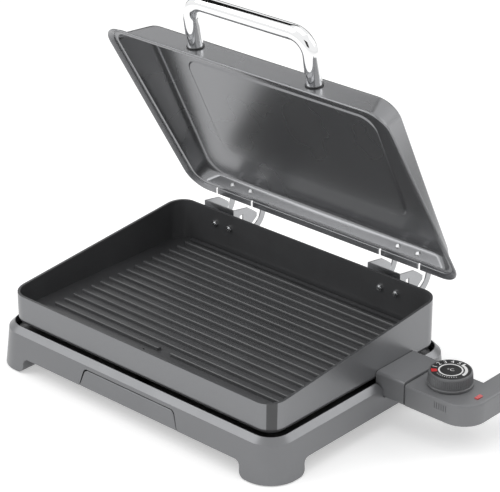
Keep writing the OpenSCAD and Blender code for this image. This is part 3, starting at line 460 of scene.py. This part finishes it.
THERMOSTAT = {
    "connector_block": "housing_plastic",
    "housing_lower": "housing_plastic",
    "housing_upper": "housing_plastic",
    "cord_gland": "dark_plastic",
    "thermostat": "dark_plastic",
    "housing_screws": "fastener_steel",
    "sensing_rod": "fastener_steel",
    "dial_spindle": "fastener_steel",
    "contact_sleeves": "contact_brass",
    "indicator_lens": "lens_red",
}
THIN_EDGED = ("sheet_steel", "fastener_steel", "contact_brass", "lens_red", "dark_plastic")
UNBEVELLED = (
    "handle_tube", "heating_element", "heat_reflector", "rubber_feet", "terminal_insulator")

SHARP_EDGE = 35.0  # degrees between two faces past which the edge between them is sharp
SAME_POINT = 0.002 * MM
SAME_PLANE = math.radians(0.2)


# Mesh helpers


def new_object(name, bm):
    """Makes a bmesh an object of the scene and frees the bmesh."""
    mesh = bpy.data.meshes.new(name)
    bm.to_mesh(mesh)
    bm.free()
    made = bpy.data.objects.new(name, mesh)
    bpy.context.scene.collection.objects.link(made)
    return made


def new_piece(bm, name, slot, body, sharp=SHARP_EDGE):
    """Makes a bmesh a smoothly shaded piece that rides on a body, in the finish of a slot.

    Edges between faces more than so many degrees apart stay sharp.
    """
    piece = new_object(name, bm)
    piece.data.shade_smooth()
    piece.data.set_sharp_from_angle(angle=math.radians(sharp))
    piece.data.materials.append(FINISH[slot])
    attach(piece, body)
    return piece


def merged_copy(node):
    """A bmesh of a CAD node with its loose triangles joined and its flat faces whole."""
    bm = bmesh.new()
    bm.from_mesh(frame["nodes"][node].data)
    bmesh.ops.remove_doubles(bm, verts=bm.verts, dist=SAME_POINT)
    bmesh.ops.dissolve_limit(bm, angle_limit=SAME_PLANE, verts=bm.verts, edges=bm.edges)
    return bm


def round_edges(piece, width):
    """Rounds a piece's sharp edges."""
    bevel = piece.modifiers.new("Rounded edges", "BEVEL")
    bevel.limit_method = "ANGLE"
    bevel.angle_limit = math.radians(SHARP_EDGE)
    bevel.width = width
    bevel.segments = 2


def flatten(piece):
    """Weights the normals by face area, so that flat faces stay flat beside rounded ones."""
    weight = piece.modifiers.new("Flat faces", "WEIGHTED_NORMAL")
    weight.keep_sharp = True


def edge_width(node, slot, sizes):
    """How far a node's edges are rounded. Nodes that are round all over have none."""
    if node in UNBEVELLED:
        return 0
    if slot == "housing_plastic":
        return sizes.housing_edge
    return sizes.sheet_edge if slot in THIN_EDGED else sizes.shell_edge


def dress(nodes, sizes):
    """Shows CAD nodes in their own shape, each in its finish and with rounded edges."""
    for node, slot in nodes.items():
        body = frame["nodes"][node]["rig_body"]
        piece = new_piece(merged_copy(node), node + "_shown", slot, body)
        width = edge_width(node, slot, sizes)
        if width:
            round_edges(piece, width)
        flatten(piece)
        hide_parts(node)


def grow_rim(bm, edges):
    """Extrudes a closed loop of edges. Returns the new vertices and the new loop of edges."""
    grown = bmesh.ops.extrude_edge_only(bm, edges=edges)["geom"]
    fresh = [g for g in grown if isinstance(g, bmesh.types.BMVert)]
    rim = [g for g in grown if isinstance(g, bmesh.types.BMEdge)
           and all(v in fresh for v in g.verts)]
    return fresh, rim


def turned(bm, profile, segments):
    """Stacks rings of (radius, height) upwards and closes both ends.

    Returns the vertices of each ring.
    """
    radius, height = profile[0]
    loop = bmesh.ops.create_circle(bm, segments=segments, radius=radius)["verts"]
    bmesh.ops.translate(bm, verts=loop, vec=(0, 0, height))
    edges = list({e for v in loop for e in v.link_edges})
    bmesh.ops.contextual_create(bm, geom=edges)
    stack = [loop]
    for (r0, z0), (r1, z1) in zip(profile, profile[1:]):
        loop, edges = grow_rim(bm, edges)
        bmesh.ops.scale(bm, verts=loop, vec=(r1 / r0, r1 / r0, 1))
        bmesh.ops.translate(bm, verts=loop, vec=(0, 0, z1 - z0))
        stack.append(loop)
    bmesh.ops.contextual_create(bm, geom=edges)
    bmesh.ops.recalc_face_normals(bm, faces=bm.faces)
    return stack


# Pieces


class GRILL_OT_stand(bpy.types.Operator):
    """Shows the moulded stand with its tray, cover, feet and heat reflector"""

    bl_idname = "grill.stand"
    bl_label = "Stand and tray"

    def execute(self, context):
        dress(STAND, context.scene.grill_sizes)
        return {"FINISHED"}


class GRILL_OT_heater(bpy.types.Operator):
    """Shows the heating element with its clips and terminals"""

    bl_idname = "grill.heater"
    bl_label = "Heating element"

    def execute(self, context):
        dress(HEATER, context.scene.grill_sizes)
        return {"FINISHED"}


class GRILL_OT_hinges(bpy.types.Operator):
    """Shows both hinges: brackets, arms, pins, screws, nuts and rivets"""

    bl_idname = "grill.hinges"
    bl_label = "Hinges"

    def execute(self, context):
        dress(HINGES, context.scene.grill_sizes)
        return {"FINISHED"}


class GRILL_OT_handle(bpy.types.Operator):
    """Shows the chrome handle with its collars and screws"""

    bl_idname = "grill.handle"
    bl_label = "Handle"

    def execute(self, context):
        dress(HANDLE, context.scene.grill_sizes)
        return {"FINISHED"}


class GRILL_OT_thermostat(bpy.types.Operator):
    """Shows the plug-in thermostat's housing, indicator and inner parts"""

    bl_idname = "grill.thermostat"
    bl_label = "Thermostat"

    def execute(self, context):
        dress(THERMOSTAT, context.scene.grill_sizes)
        return {"FINISHED"}


class GRILL_OT_pan(bpy.types.Operator):
    """Shows the pan with its grey outside and its dark non-stick inside"""

    bl_idname = "grill.pan"
    bl_label = "Grill pan"

    PLATE_RISE = 6.2 * MM  # from the pan's lowest point to the level where the plate starts
    SLACK = 0.1 * MM  # past the walls' inner faces, so that these count as inside
    FACES_DOWN = -0.5  # a normal that points down more than this belongs to the underside

    def execute(self, context):
        sizes = context.scene.grill_sizes
        bm = merged_copy("grill_pan")
        reach = (PAN_HIGH - PAN_LOW) / 2
        plate_low = PAN_LOW.z + self.PLATE_RISE
        for face in bm.faces:
            centre = face.calc_center_median()
            at = centre - PAN_MIDDLE
            within = all(
                abs(at[i]) < reach[i] - sizes.pan_wall + self.SLACK for i in (0, 1))
            if within and centre.z > plate_low and face.normal.z >= self.FACES_DOWN:
                face.material_index = 1
        piece = new_piece(bm, "grill_pan_shown", "pan_paint", "pan")
        piece.data.materials.append(FINISH["pan_inside"])
        round_edges(piece, sizes.shell_edge)
        flatten(piece)
        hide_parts("grill_pan")
        return {"FINISHED"}


class GRILL_OT_lid(bpy.types.Operator):
    """Draws the lid as one sheet: rolled flange, ledge, leaning walls and a pressed panel"""

    bl_idname = "grill.lid"
    bl_label = "Lid"

    # Points round each corner, and points along each side between two corners
    ARC = 10
    SIDE = 14
    # Outlines across the panel's rounding, and across the walls
    STEPS = 6
    # Degrees between two faces past which the edge between them is sharp
    SHARP = 40
    # The pressed field's edge: inset in millimetres, and the share of its depth
    FIELD_EDGE = ((10, 1), (1.6, 1), (0.7, 0.85), (0, 0.5), (-0.7, 0.15), (-1.6, 0))
    # Outlines inside the panel's edge: inset and loss of corner radius, in panel roundings
    PANEL_EDGE = ((2.2, 0.6), (1, 0.5))
    # How far the inner face's panel edge and walls' foot move in, in sheet thicknesses
    EDGE_IN = 0.65
    FOOT_IN = 1.1
    # From a hinge's side to the middle of its ear, and the height of the slots' cutter
    EAR_MIDDLE = 1.6 * MM
    CUTTER_TALL = 30 * MM
    # The most of a wall that the panel's rounding takes
    MOST_OF_WALL = 0.5

    def execute(self, context):
        lid = self.lid = context.scene.grill_lid
        run = lid.length - lid.panel_back - lid.panel_front
        self.slope = (lid.front_high - lid.back_high) / run
        piece = new_piece(self.sheet(), "lid_shell_shown", "lid_paint", "lid", self.SHARP)
        self.cut_slots(piece)
        pin_low, pin_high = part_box("hinge_pin_left")
        pivot = (pin_low + pin_high) / 2
        pivot.x = PAN_MIDDLE.x
        piece.data.transform(
            Matrix.Translation(pivot) @ Matrix.Rotation(-lid.opened, 4, "X")
            @ Matrix.Translation((0, -lid.hinge_behind, lid.hinge_below)))
        flatten(piece)
        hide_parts("lid_shell")
        return {"FINISHED"}

    def sheet(self):
        """The closed lid as a bmesh, grown from the outer face's middle to the inner face's."""
        bm = bmesh.new()
        outlines = self.dome(0) + self.flange() + self.dome(self.lid.sheet)[::-1]
        loop = bmesh.ops.create_circle(
            bm, segments=4 * (self.ARC + self.SIDE), radius=self.lid.half)["verts"]
        edges = list({e for v in loop for e in v.link_edges})
        self.place(loop, outlines[0])
        bmesh.ops.contextual_create(bm, geom=edges)
        for outline in outlines[1:]:
            fresh, edges = grow_rim(bm, edges)
            fresh = set(fresh)
            loop = [
                next(v for v in (e.other_vert(old) for e in old.link_edges) if v in fresh)
                for old in loop]
            self.place(loop, outline)
        bmesh.ops.contextual_create(bm, geom=edges)
        bmesh.ops.recalc_face_normals(bm, faces=bm.faces)
        return bm

    def place(self, loop, outline):
        """Moves a loop's vertices to an outline's points, in order."""
        for vertex, point in zip(loop, outline):
            vertex.co = point

    def outline(self, back, side, front, corner, height, slope=0.0):
        """Points round a rounded rectangle, level or on the panel's slope.

        Its edges are inset from the flange's.
        """
        lid = self.lid
        reach = Vector((lid.half - side, (lid.length - back - front) / 2, 0))
        middle = Vector((0, -back - reach.y, 0))
        points = []
        for quarter, (sx, sy) in enumerate(((1, 1), (-1, 1), (-1, -1), (1, -1))):
            centre = middle + Vector((sx * (reach.x - corner), sy * (reach.y - corner), 0))
            for i in range(self.ARC + 1):
                turn = math.pi / 2 * (quarter + i / self.ARC)
                points.append(centre + corner * Vector((math.cos(turn), math.sin(turn), 0)))
            if quarter % 2 == 0:
                side_run = Vector((-2 * sx * (reach.x - corner), 0, 0))
            else:
                side_run = Vector((0, -2 * sy * (reach.y - corner), 0))
            start = points[-1].copy()
            points += [start + side_run * (i / self.SIDE) for i in range(1, self.SIDE)]
        for point in points:
            point.z = height + slope * (-point.y - lid.panel_back)
        return points

    def dome(self, depth):
        """Outlines from the middle of the panel to the walls' foot, on one face of the sheet.

        The depth is how far that face lies below the outer one.
        """
        lid = self.lid
        top = lid.back_high - depth
        field = lid.field_back, lid.field_side, lid.field_front
        outlines = [
            self.outline(
                *(f + inset * MM for f in field), lid.field_corner - inset * MM,
                top - share * lid.field_rise, self.slope)
            for inset, share in self.FIELD_EDGE]
        moved = depth * self.EDGE_IN
        edges = lid.panel_back + moved, lid.panel_side + moved, lid.panel_front + moved
        edge = self.outline(*edges, lid.panel_corner - moved, top, self.slope)
        for inset, loss in self.PANEL_EDGE:
            outlines.append(self.outline(
                *(e + inset * lid.panel_round for e in edges),
                lid.panel_corner - moved - loss * lid.panel_round, top, self.slope))
        flat = outlines[-1]
        foot_in = lid.flange + depth * self.FOOT_IN
        foot = self.outline(foot_in, foot_in, foot_in, lid.corner - foot_in, lid.step_high)
        wall = []
        for corner, low in zip(edge, foot):
            away = low - corner
            wall.append(corner + away * min(self.MOST_OF_WALL, lid.panel_round / away.length))
        steps = [i / self.STEPS for i in range(1, self.STEPS + 1)]
        for t in steps:
            outlines.append([
                a * (1 - t) ** 2 + b * 2 * t * (1 - t) + c * t ** 2
                for a, b, c in zip(flat, edge, wall)])
        for t in steps:
            outlines.append([a.lerp(b, t) for a, b in zip(wall, foot)])
        return outlines

    def flange(self):
        """Outlines of the ledge, the lip and its rolled edge, from outside to inside.

        Each row is an inset from the flange's edge and a height over its underside.
        """
        lid = self.lid
        ledge, high, sheet, roll = lid.ledge_from, lid.ledge_high, lid.sheet, lid.roll
        lip = lid.lip_rise
        outside = [
            (lid.flange - 0.15 * MM, high + sheet + 0.2 * MM),
            (lid.flange - 0.5 * MM, high + sheet),
            (ledge - sheet + 0.4 * MM, high + sheet),
            (ledge - sheet, high + sheet - 0.4 * MM),
            (ledge - sheet - 0.1 * MM, lip + sheet + 0.5 * MM),
            (ledge - sheet - 0.6 * MM, lip + sheet),
        ]
        turns = [math.radians(turn) for turn in range(80, 261, 30)]
        rolled = [(roll * (1 + math.cos(a)), roll * (1.05 + math.sin(a))) for a in turns]
        inside = [
            (2.2 * MM, 0.22 * lip),
            (ledge - 0.5 * MM, lip),
            (ledge - 0.05 * MM, lip + 0.35 * MM),
            (ledge, high - 0.7 * MM),
            (ledge + 0.25 * MM, high - 0.25 * MM),
            (ledge + 0.8 * MM, high),
            (lid.flange + 0.3 * MM, high),
            (lid.flange + 0.9 * MM, high + 0.25 * MM),
            (lid.flange + 1.1 * MM, high + 0.7 * MM),
        ]
        return [
            self.outline(inset, inset, inset, lid.corner - inset, height)
            for inset, height in outside + rolled + inside]

    def cut_slots(self, piece):
        """Cuts the slots in the flange that the hinges' ears and arms pass through."""
        lid = self.lid
        bm = bmesh.new()
        for node in ("lid_hinge_left", "lid_hinge_right"):
            low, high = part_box(node)
            for x in (low.x + self.EAR_MIDDLE, high.x - self.EAR_MIDDLE):
                block = bmesh.ops.create_cube(bm, size=1)["verts"]
                size = (lid.slot_wide, 2 * lid.slot_deep, self.CUTTER_TALL)
                bmesh.ops.scale(bm, verts=block, vec=size)
                bmesh.ops.translate(bm, verts=block, vec=(x - PAN_MIDDLE.x, 0, 0))
        cutter = new_object("slot_cutter", bm)
        cut = piece.modifiers.new("Slots", "BOOLEAN")
        cut.object = cutter
        bpy.context.view_layer.update()
        shown = piece.evaluated_get(bpy.context.evaluated_depsgraph_get())
        mesh = bpy.data.meshes.new_from_object(shown)
        piece.modifiers.clear()
        piece.data = mesh
        mesh.set_sharp_from_angle(angle=math.radians(self.SHARP))
        bpy.data.objects.remove(cutter)


class GRILL_OT_dial(bpy.types.Operator):
    """Turns the dial, cuts its grip and prints its plain scale"""

    bl_idname = "grill.dial"
    bl_label = "Dial"

    # The grip's outline: millimetres inside its radius, and over its foot or under its top
    SKIRT = (
        (0.8, 0), (0.1, 0.25), (0, 0.8), (0, 2.6), (0.5, 3.1), (1.2, 3.3), (1.2, 3.9),
        (0.75, 4.5))
    CROWN = (
        (1.3, 3.0), (1.6, 2.2), (1.75, 1.1), (2.15, 0.35), (2.75, 0), (3.35, 0), (3.7, 0.9))
    # The rings that carry the ridges: the skirt's last and the crown's first
    RIDGED = slice(7, 9)
    # The disc's rounded rim, and the points round it
    DISC_RIM = 0.15 * MM
    DISC_POINTS = 96
    # Degrees past which an edge is sharp, on the turned pieces and on the print
    TURNED_SHARP = 30
    PRINT_SHARP = 20
    # Degrees between the steps of an arc, and how near its points are joined
    ARC_STEP = 3
    PRINT_JOIN = 0.001 * MM
    # The scale: inner and outer radius in millimetres, then start and end in degrees
    RING = (11.9, 13.6, 0, 360)
    HEAT_ARC = (15.2, 18.4, -46, 34)
    HEAT_END = (15.2, 21.4, 34, 40)
    OFF_MARK = (14.8, 21.2, 170, 190)
    # The numerals' radius, first place and spacing
    NUMERALS = (18.2, 154, 25)
    # The ticks' radii, number, first place, spacing and width
    TICKS = (15.4, 17.2, 10, -156, 9, 2)
    # The degree sign's size against the numerals'
    DEGREE_SIZE = 0.85

    def execute(self, context):
        sizes = context.scene.grill_sizes
        self.middle = Vector(
            ((KNOB_LOW.x + KNOB_HIGH.x) / 2, (KNOB_LOW.y + KNOB_HIGH.y) / 2, 0))
        self.grip(sizes)
        self.disc()
        self.scale(sizes, context.scene.grill_stage.azimuth)
        return {"FINISHED"}

    def grip(self, sizes):
        """Turns the dial's body and presses grooves between its ridges."""
        radius = (KNOB_HIGH.x - KNOB_LOW.x) / 2
        profile = [(radius - inset * MM, KNOB_LOW.z + rise * MM) for inset, rise in self.SKIRT]
        profile += [(radius - inset * MM, KNOB_HIGH.z - drop * MM) for inset, drop in self.CROWN]
        bm = bmesh.new()
        stack = turned(bm, profile, 2 * sizes.ridge_count)
        for loop in stack[self.RIDGED]:
            for vertex in loop:
                turn = math.atan2(vertex.co.y, vertex.co.x) / math.pi
                if round(turn * sizes.ridge_count) % 2:
                    outward = Vector((vertex.co.x, vertex.co.y, 0)).normalized()
                    bmesh.ops.translate(bm, verts=[vertex], vec=-outward * sizes.ridge_depth)
        bmesh.ops.translate(bm, verts=bm.verts, vec=self.middle)
        piece = new_piece(bm, "dial_grip", "dial_body", "dial", self.TURNED_SHARP)
        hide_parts("dial_knob")

    def disc(self):
        """Turns the dark disc that carries the print."""
        low, top = FACE_LOW.z, FACE_HIGH.z
        radius = (FACE_HIGH.x - FACE_LOW.x) / 2
        rim = self.DISC_RIM
        bm = bmesh.new()
        profile = [(radius, low), (radius, top - rim), (radius - rim, top)]
        turned(bm, profile, self.DISC_POINTS)
        bmesh.ops.translate(bm, verts=bm.verts, vec=self.middle)
        piece = new_piece(bm, "dial_disc", "dial_face", "dial", self.TURNED_SHARP)
        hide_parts("dial_plate")

    def arc(self, bm, inner, outer, start, end):
        """A flat piece of a ring between two radii in millimetres and two angles in degrees."""
        a = bm.verts.new((inner * MM, 0, 0))
        b = bm.verts.new((outer * MM, 0, 0))
        edge = bm.edges.new((a, b))
        turn = Matrix.Rotation(math.radians(start), 3, "Z")
        bmesh.ops.rotate(bm, verts=[a, b], matrix=turn)
        swept = end - start
        bmesh.ops.spin(
            bm, geom=[a, b, edge], axis=(0, 0, 1), cent=(0, 0, 0), angle=math.radians(swept),
            steps=max(2, round(swept / self.ARC_STEP)), use_merge=swept >= 360)

    def numeral(self, bm, text, radius, angle, size):
        """Adds a numeral whose head points outwards at an angle in degrees."""
        curve = bpy.data.curves.new("numeral", "FONT")
        curve.body = text
        curve.size = size
        curve.align_x = "CENTER"
        curve.align_y = "CENTER"
        letter = bpy.data.objects.new("numeral", curve)
        bpy.context.scene.collection.objects.link(letter)
        mesh = bpy.data.meshes.new_from_object(letter)
        turn = Matrix.Rotation(math.radians(angle - 90), 4, "Z")
        mesh.transform(turn @ Matrix.Translation((0, radius * MM, 0)))
        bm.from_mesh(mesh)
        bpy.data.objects.remove(letter)
        bpy.data.curves.remove(curve)
        bpy.data.meshes.remove(mesh)

    def lay_print(self, bm, name, slot, sizes, turn):
        """Gives flat printing its thickness and lays it on the dial's disc."""
        bmesh.ops.remove_doubles(bm, verts=bm.verts, dist=self.PRINT_JOIN)
        bmesh.ops.recalc_face_normals(bm, faces=bm.faces)
        for face in bm.faces:
            if face.normal.z < 0:
                face.normal_flip()
        grown = bmesh.ops.extrude_face_region(
            bm, geom=list(bm.faces), use_keep_orig=True)["geom"]
        risen = [g for g in grown if isinstance(g, bmesh.types.BMVert)]
        bmesh.ops.translate(bm, verts=risen, vec=(0, 0, sizes.print_height))
        bmesh.ops.recalc_face_normals(bm, faces=bm.faces)
        bmesh.ops.rotate(bm, verts=bm.verts, matrix=Matrix.Rotation(turn, 3, "Z"))
        on_disc = self.middle + Vector((0, 0, FACE_HIGH.z))
        bmesh.ops.translate(bm, verts=bm.verts, vec=on_disc)
        new_piece(bm, name, slot, "dial", self.PRINT_SHARP)

    def scale(self, sizes, turn):
        """Prints the numerals, the heat arc, the ticks and the red mark, turned to the viewer."""
        white = bmesh.new()
        self.arc(white, *self.RING)
        radius, first, spacing = self.NUMERALS
        for i, text in enumerate("12345"):
            self.numeral(white, text, radius, first - spacing * i, sizes.numeral_size)
        self.arc(white, *self.HEAT_ARC)
        self.arc(white, *self.HEAT_END)
        inner, outer, count, first, spacing, width = self.TICKS
        for i in range(count):
            start = first + spacing * i
            self.arc(white, inner, outer, start, start + width)
        self.numeral(white, "°C", 0, 90, sizes.numeral_size * self.DEGREE_SIZE)
        self.lay_print(white, "dial_scale", "white_ink", sizes, turn)
        red = bmesh.new()
        self.arc(red, *self.OFF_MARK)
        self.lay_print(red, "dial_off_mark", "red_ink", sizes, turn)


# Studio


def calculate(tree, operation, first, second):
    """A Math node on a socket and a second socket or number. Returns its result."""
    node = tree.nodes.new("ShaderNodeMath")
    node.operation = operation
    tree.links.new(first, node.inputs[0])
    if isinstance(second, bpy.types.NodeSocket):
        tree.links.new(second, node.inputs[1])
    else:
        node.inputs[1].default_value = second
    return node.outputs[0]


class GRILL_OT_studio(bpy.types.Operator):
    """Sets the floor, the white surround, the lamps, the cards and the photograph's camera"""

    bl_idname = "grill.studio"
    bl_label = "Studio"

    FLOOR_SIZE = 12
    FLOOR_GLOW = 0.42  # what brings the lit floor up to white

    def execute(self, context):
        stage = context.scene.grill_stage
        self.floor()
        self.surround(context.scene, stage)
        self.aim = (CAD_BOX[0] + CAD_BOX[1]) / 2
        self.lamp("Key", offset=(-1.25, -1.35, 1.55), side=1.5, power=stage.key)
        self.lamp("Rim", offset=(1.35, 1.7, 1.35), side=1.4, power=stage.rim)
        self.lamp("Top", offset=(0.1, 0.0, 2.1), side=1.6, power=stage.top)
        self.card(
            "Back card", towards=(-0.605, 0.76, 0.15), distance=1.5,
            width=1.8, height=0.62, level=0.01)
        self.card(
            "Left card", towards=(-0.605, 0.25, 0.76), distance=1.5,
            width=1.8, height=0.40, level=0.01)
        self.card(
            "Front card", towards=(0.62, -0.66, 0.42), distance=1.3,
            width=0.5, height=0.6, level=0.05)
        self.card(
            "Right card", towards=(0.62, 0.70, -0.20), distance=0.55,
            width=0.7, height=0.16, level=0.5)
        self.camera(context.scene, stage)
        context.scene.view_settings.view_transform = "Standard"
        return {"FINISHED"}

    def floor(self):
        """A pale floor that the camera and reflections see as white, with the grill's shadow."""
        bm = bmesh.new()
        bmesh.ops.create_grid(bm, x_segments=1, y_segments=1, size=self.FLOOR_SIZE)
        floor = new_object("studio_floor", bm)
        material, tree, shader = new_material("Studio floor", (0.9, 0.9, 0.9), 0.9)
        shader.inputs["Specular IOR Level"].default_value = 0.0
        path = tree.nodes.new("ShaderNodeLightPath")
        seen = calculate(
            tree, "MAXIMUM", path.outputs["Is Camera Ray"], path.outputs["Is Glossy Ray"])
        strength = calculate(tree, "MULTIPLY", seen, self.FLOOR_GLOW)
        glow = tree.nodes.new("ShaderNodeEmission")
        add = tree.nodes.new("ShaderNodeAddShader")
        tree.links.new(strength, glow.inputs["Strength"])
        tree.links.new(shader.outputs["BSDF"], add.inputs[0])
        tree.links.new(glow.outputs["Emission"], add.inputs[1])
        output = tree.nodes["Material Output"]
        tree.links.new(add.outputs["Shader"], output.inputs["Surface"])
        floor.data.materials.append(material)

    def surround(self, scene, stage):
        """Even light from all round, seen as plain white directly and in reflections."""
        world = bpy.data.worlds.new("Studio surround")
        scene.world = world
        world.use_nodes = True
        tree = world.node_tree
        even = tree.nodes["Background"]
        even.inputs["Color"].default_value = (1, 1, 1, 1)
        even.inputs["Strength"].default_value = stage.ambient
        white = tree.nodes.new("ShaderNodeBackground")
        white.inputs["Color"].default_value = (1, 1, 1, 1)
        white.inputs["Strength"].default_value = 1.0
        path = tree.nodes.new("ShaderNodeLightPath")
        seen = path.outputs["Is Camera Ray"]
        for kind in ("Is Glossy Ray", "Is Transmission Ray"):
            seen = calculate(tree, "MAXIMUM", seen, path.outputs[kind])
        mix = tree.nodes.new("ShaderNodeMixShader")
        tree.links.new(seen, mix.inputs["Fac"])
        tree.links.new(even.outputs["Background"], mix.inputs[1])
        tree.links.new(white.outputs["Background"], mix.inputs[2])
        tree.links.new(mix.outputs["Shader"], tree.nodes["World Output"].inputs["Surface"])

    def lamp(self, name, offset, side, power):
        """A soft square lamp that faces the middle of the grill."""
        light = bpy.data.lights.new(name, "AREA")
        light.shape = "SQUARE"
        light.size = side
        light.energy = power
        lamp = bpy.data.objects.new(name, light)
        lamp.location = self.aim + Vector(offset)
        lamp.rotation_euler = (-Vector(offset)).to_track_quat("-Z", "Y").to_euler()
        bpy.context.scene.collection.objects.link(lamp)

    def card(self, name, towards, distance, width, height, level):
        """A plain card that shows in reflections only, as photographers put round metal."""
        towards = Vector(towards).normalized()
        bm = bmesh.new()
        corners = bmesh.ops.create_grid(bm, x_segments=1, y_segments=1, size=0.5)["verts"]
        bmesh.ops.scale(bm, verts=corners, vec=(width, height, 1))
        turn = towards.to_track_quat("Z", "Y").to_matrix()
        bmesh.ops.rotate(bm, verts=corners, matrix=turn)
        bmesh.ops.translate(bm, verts=corners, vec=self.aim + towards * distance)
        card = new_object(name.replace(" ", "_").lower(), bm)
        material, _, shader = new_material(name, (0, 0, 0), 1.0)
        shader.inputs["Specular IOR Level"].default_value = 0.0
        shader.inputs["Emission Color"].default_value = (level, level, level, 1)
        shader.inputs["Emission Strength"].default_value = 1.0
        card.data.materials.append(material)
        card.visible_camera = False
        card.visible_diffuse = False
        card.visible_shadow = False
        card.visible_transmission = False

    def camera(self, scene, stage):
        """The photograph's camera, level, with its place worked out from its angles."""
        az, el = stage.azimuth, stage.elevation
        right = Vector((math.cos(az), math.sin(az), 0))
        back = Vector((math.sin(az) * math.cos(el), -math.cos(az) * math.cos(el), math.sin(el)))
        up = back.cross(right)
        data = bpy.data.cameras.new("Camera")
        data.lens = stage.lens
        camera = bpy.data.objects.new("Camera", data)
        place = (
            right * stage.aim_right + up * stage.aim_up + back * stage.distance
            + Vector(stage.centre))
        turn = Matrix((right, up, back)).transposed().to_4x4()
        camera.matrix_world = Matrix.Translation(place) @ turn
        scene.collection.objects.link(camera)
        scene.camera = camera


# Add-on


class GRILL_PT_panel(bpy.types.Panel):
    """Lists the grill's steps and settings in the sidebar"""

    bl_idname = "GRILL_PT_panel"
    bl_label = "Electric Indoor Grill"
    bl_space_type = "VIEW_3D"
    bl_region_type = "UI"
    bl_category = "Grill"

    def draw(self, context):
        for operator in STEPS:
            self.layout.operator(operator.bl_idname)
        for group in (getattr(context.scene, name) for name in GROUPS):
            box = self.layout.box()
            for name in group.__annotations__:
                box.prop(group, name)


GROUPS = {
    "grill_sizes": GrillSizes,
    "grill_lid": GrillLid,
    "grill_colours": GrillColours,
    "grill_stage": GrillStage,
}
STEPS = (
    GRILL_OT_stand, GRILL_OT_heater, GRILL_OT_pan, GRILL_OT_hinges, GRILL_OT_lid,
    GRILL_OT_handle, GRILL_OT_thermostat, GRILL_OT_dial, GRILL_OT_studio)


def register():
    """Registers the classes and hangs the property groups on the scene."""
    for cls in (*GROUPS.values(), *STEPS, GRILL_PT_panel):
        bpy.utils.register_class(cls)
    for name, group in GROUPS.items():
        setattr(bpy.types.Scene, name, bpy.props.PointerProperty(type=group))


def unregister():
    """Takes back what register did."""
    for name in GROUPS:
        delattr(bpy.types.Scene, name)
    for cls in reversed((*GROUPS.values(), *STEPS, GRILL_PT_panel)):
        bpy.utils.unregister_class(cls)


def main():
    """Makes the finishes and every piece."""
    register()
    FINISH.update(make_finishes(bpy.context.scene.grill_colours))
    bpy.ops.grill.stand()
    bpy.ops.grill.heater()
    bpy.ops.grill.pan()
    bpy.ops.grill.hinges()
    bpy.ops.grill.lid()
    bpy.ops.grill.handle()
    bpy.ops.grill.thermostat()
    bpy.ops.grill.dial()
    bpy.ops.grill.studio()


if __name__ == "__main__":
    main()
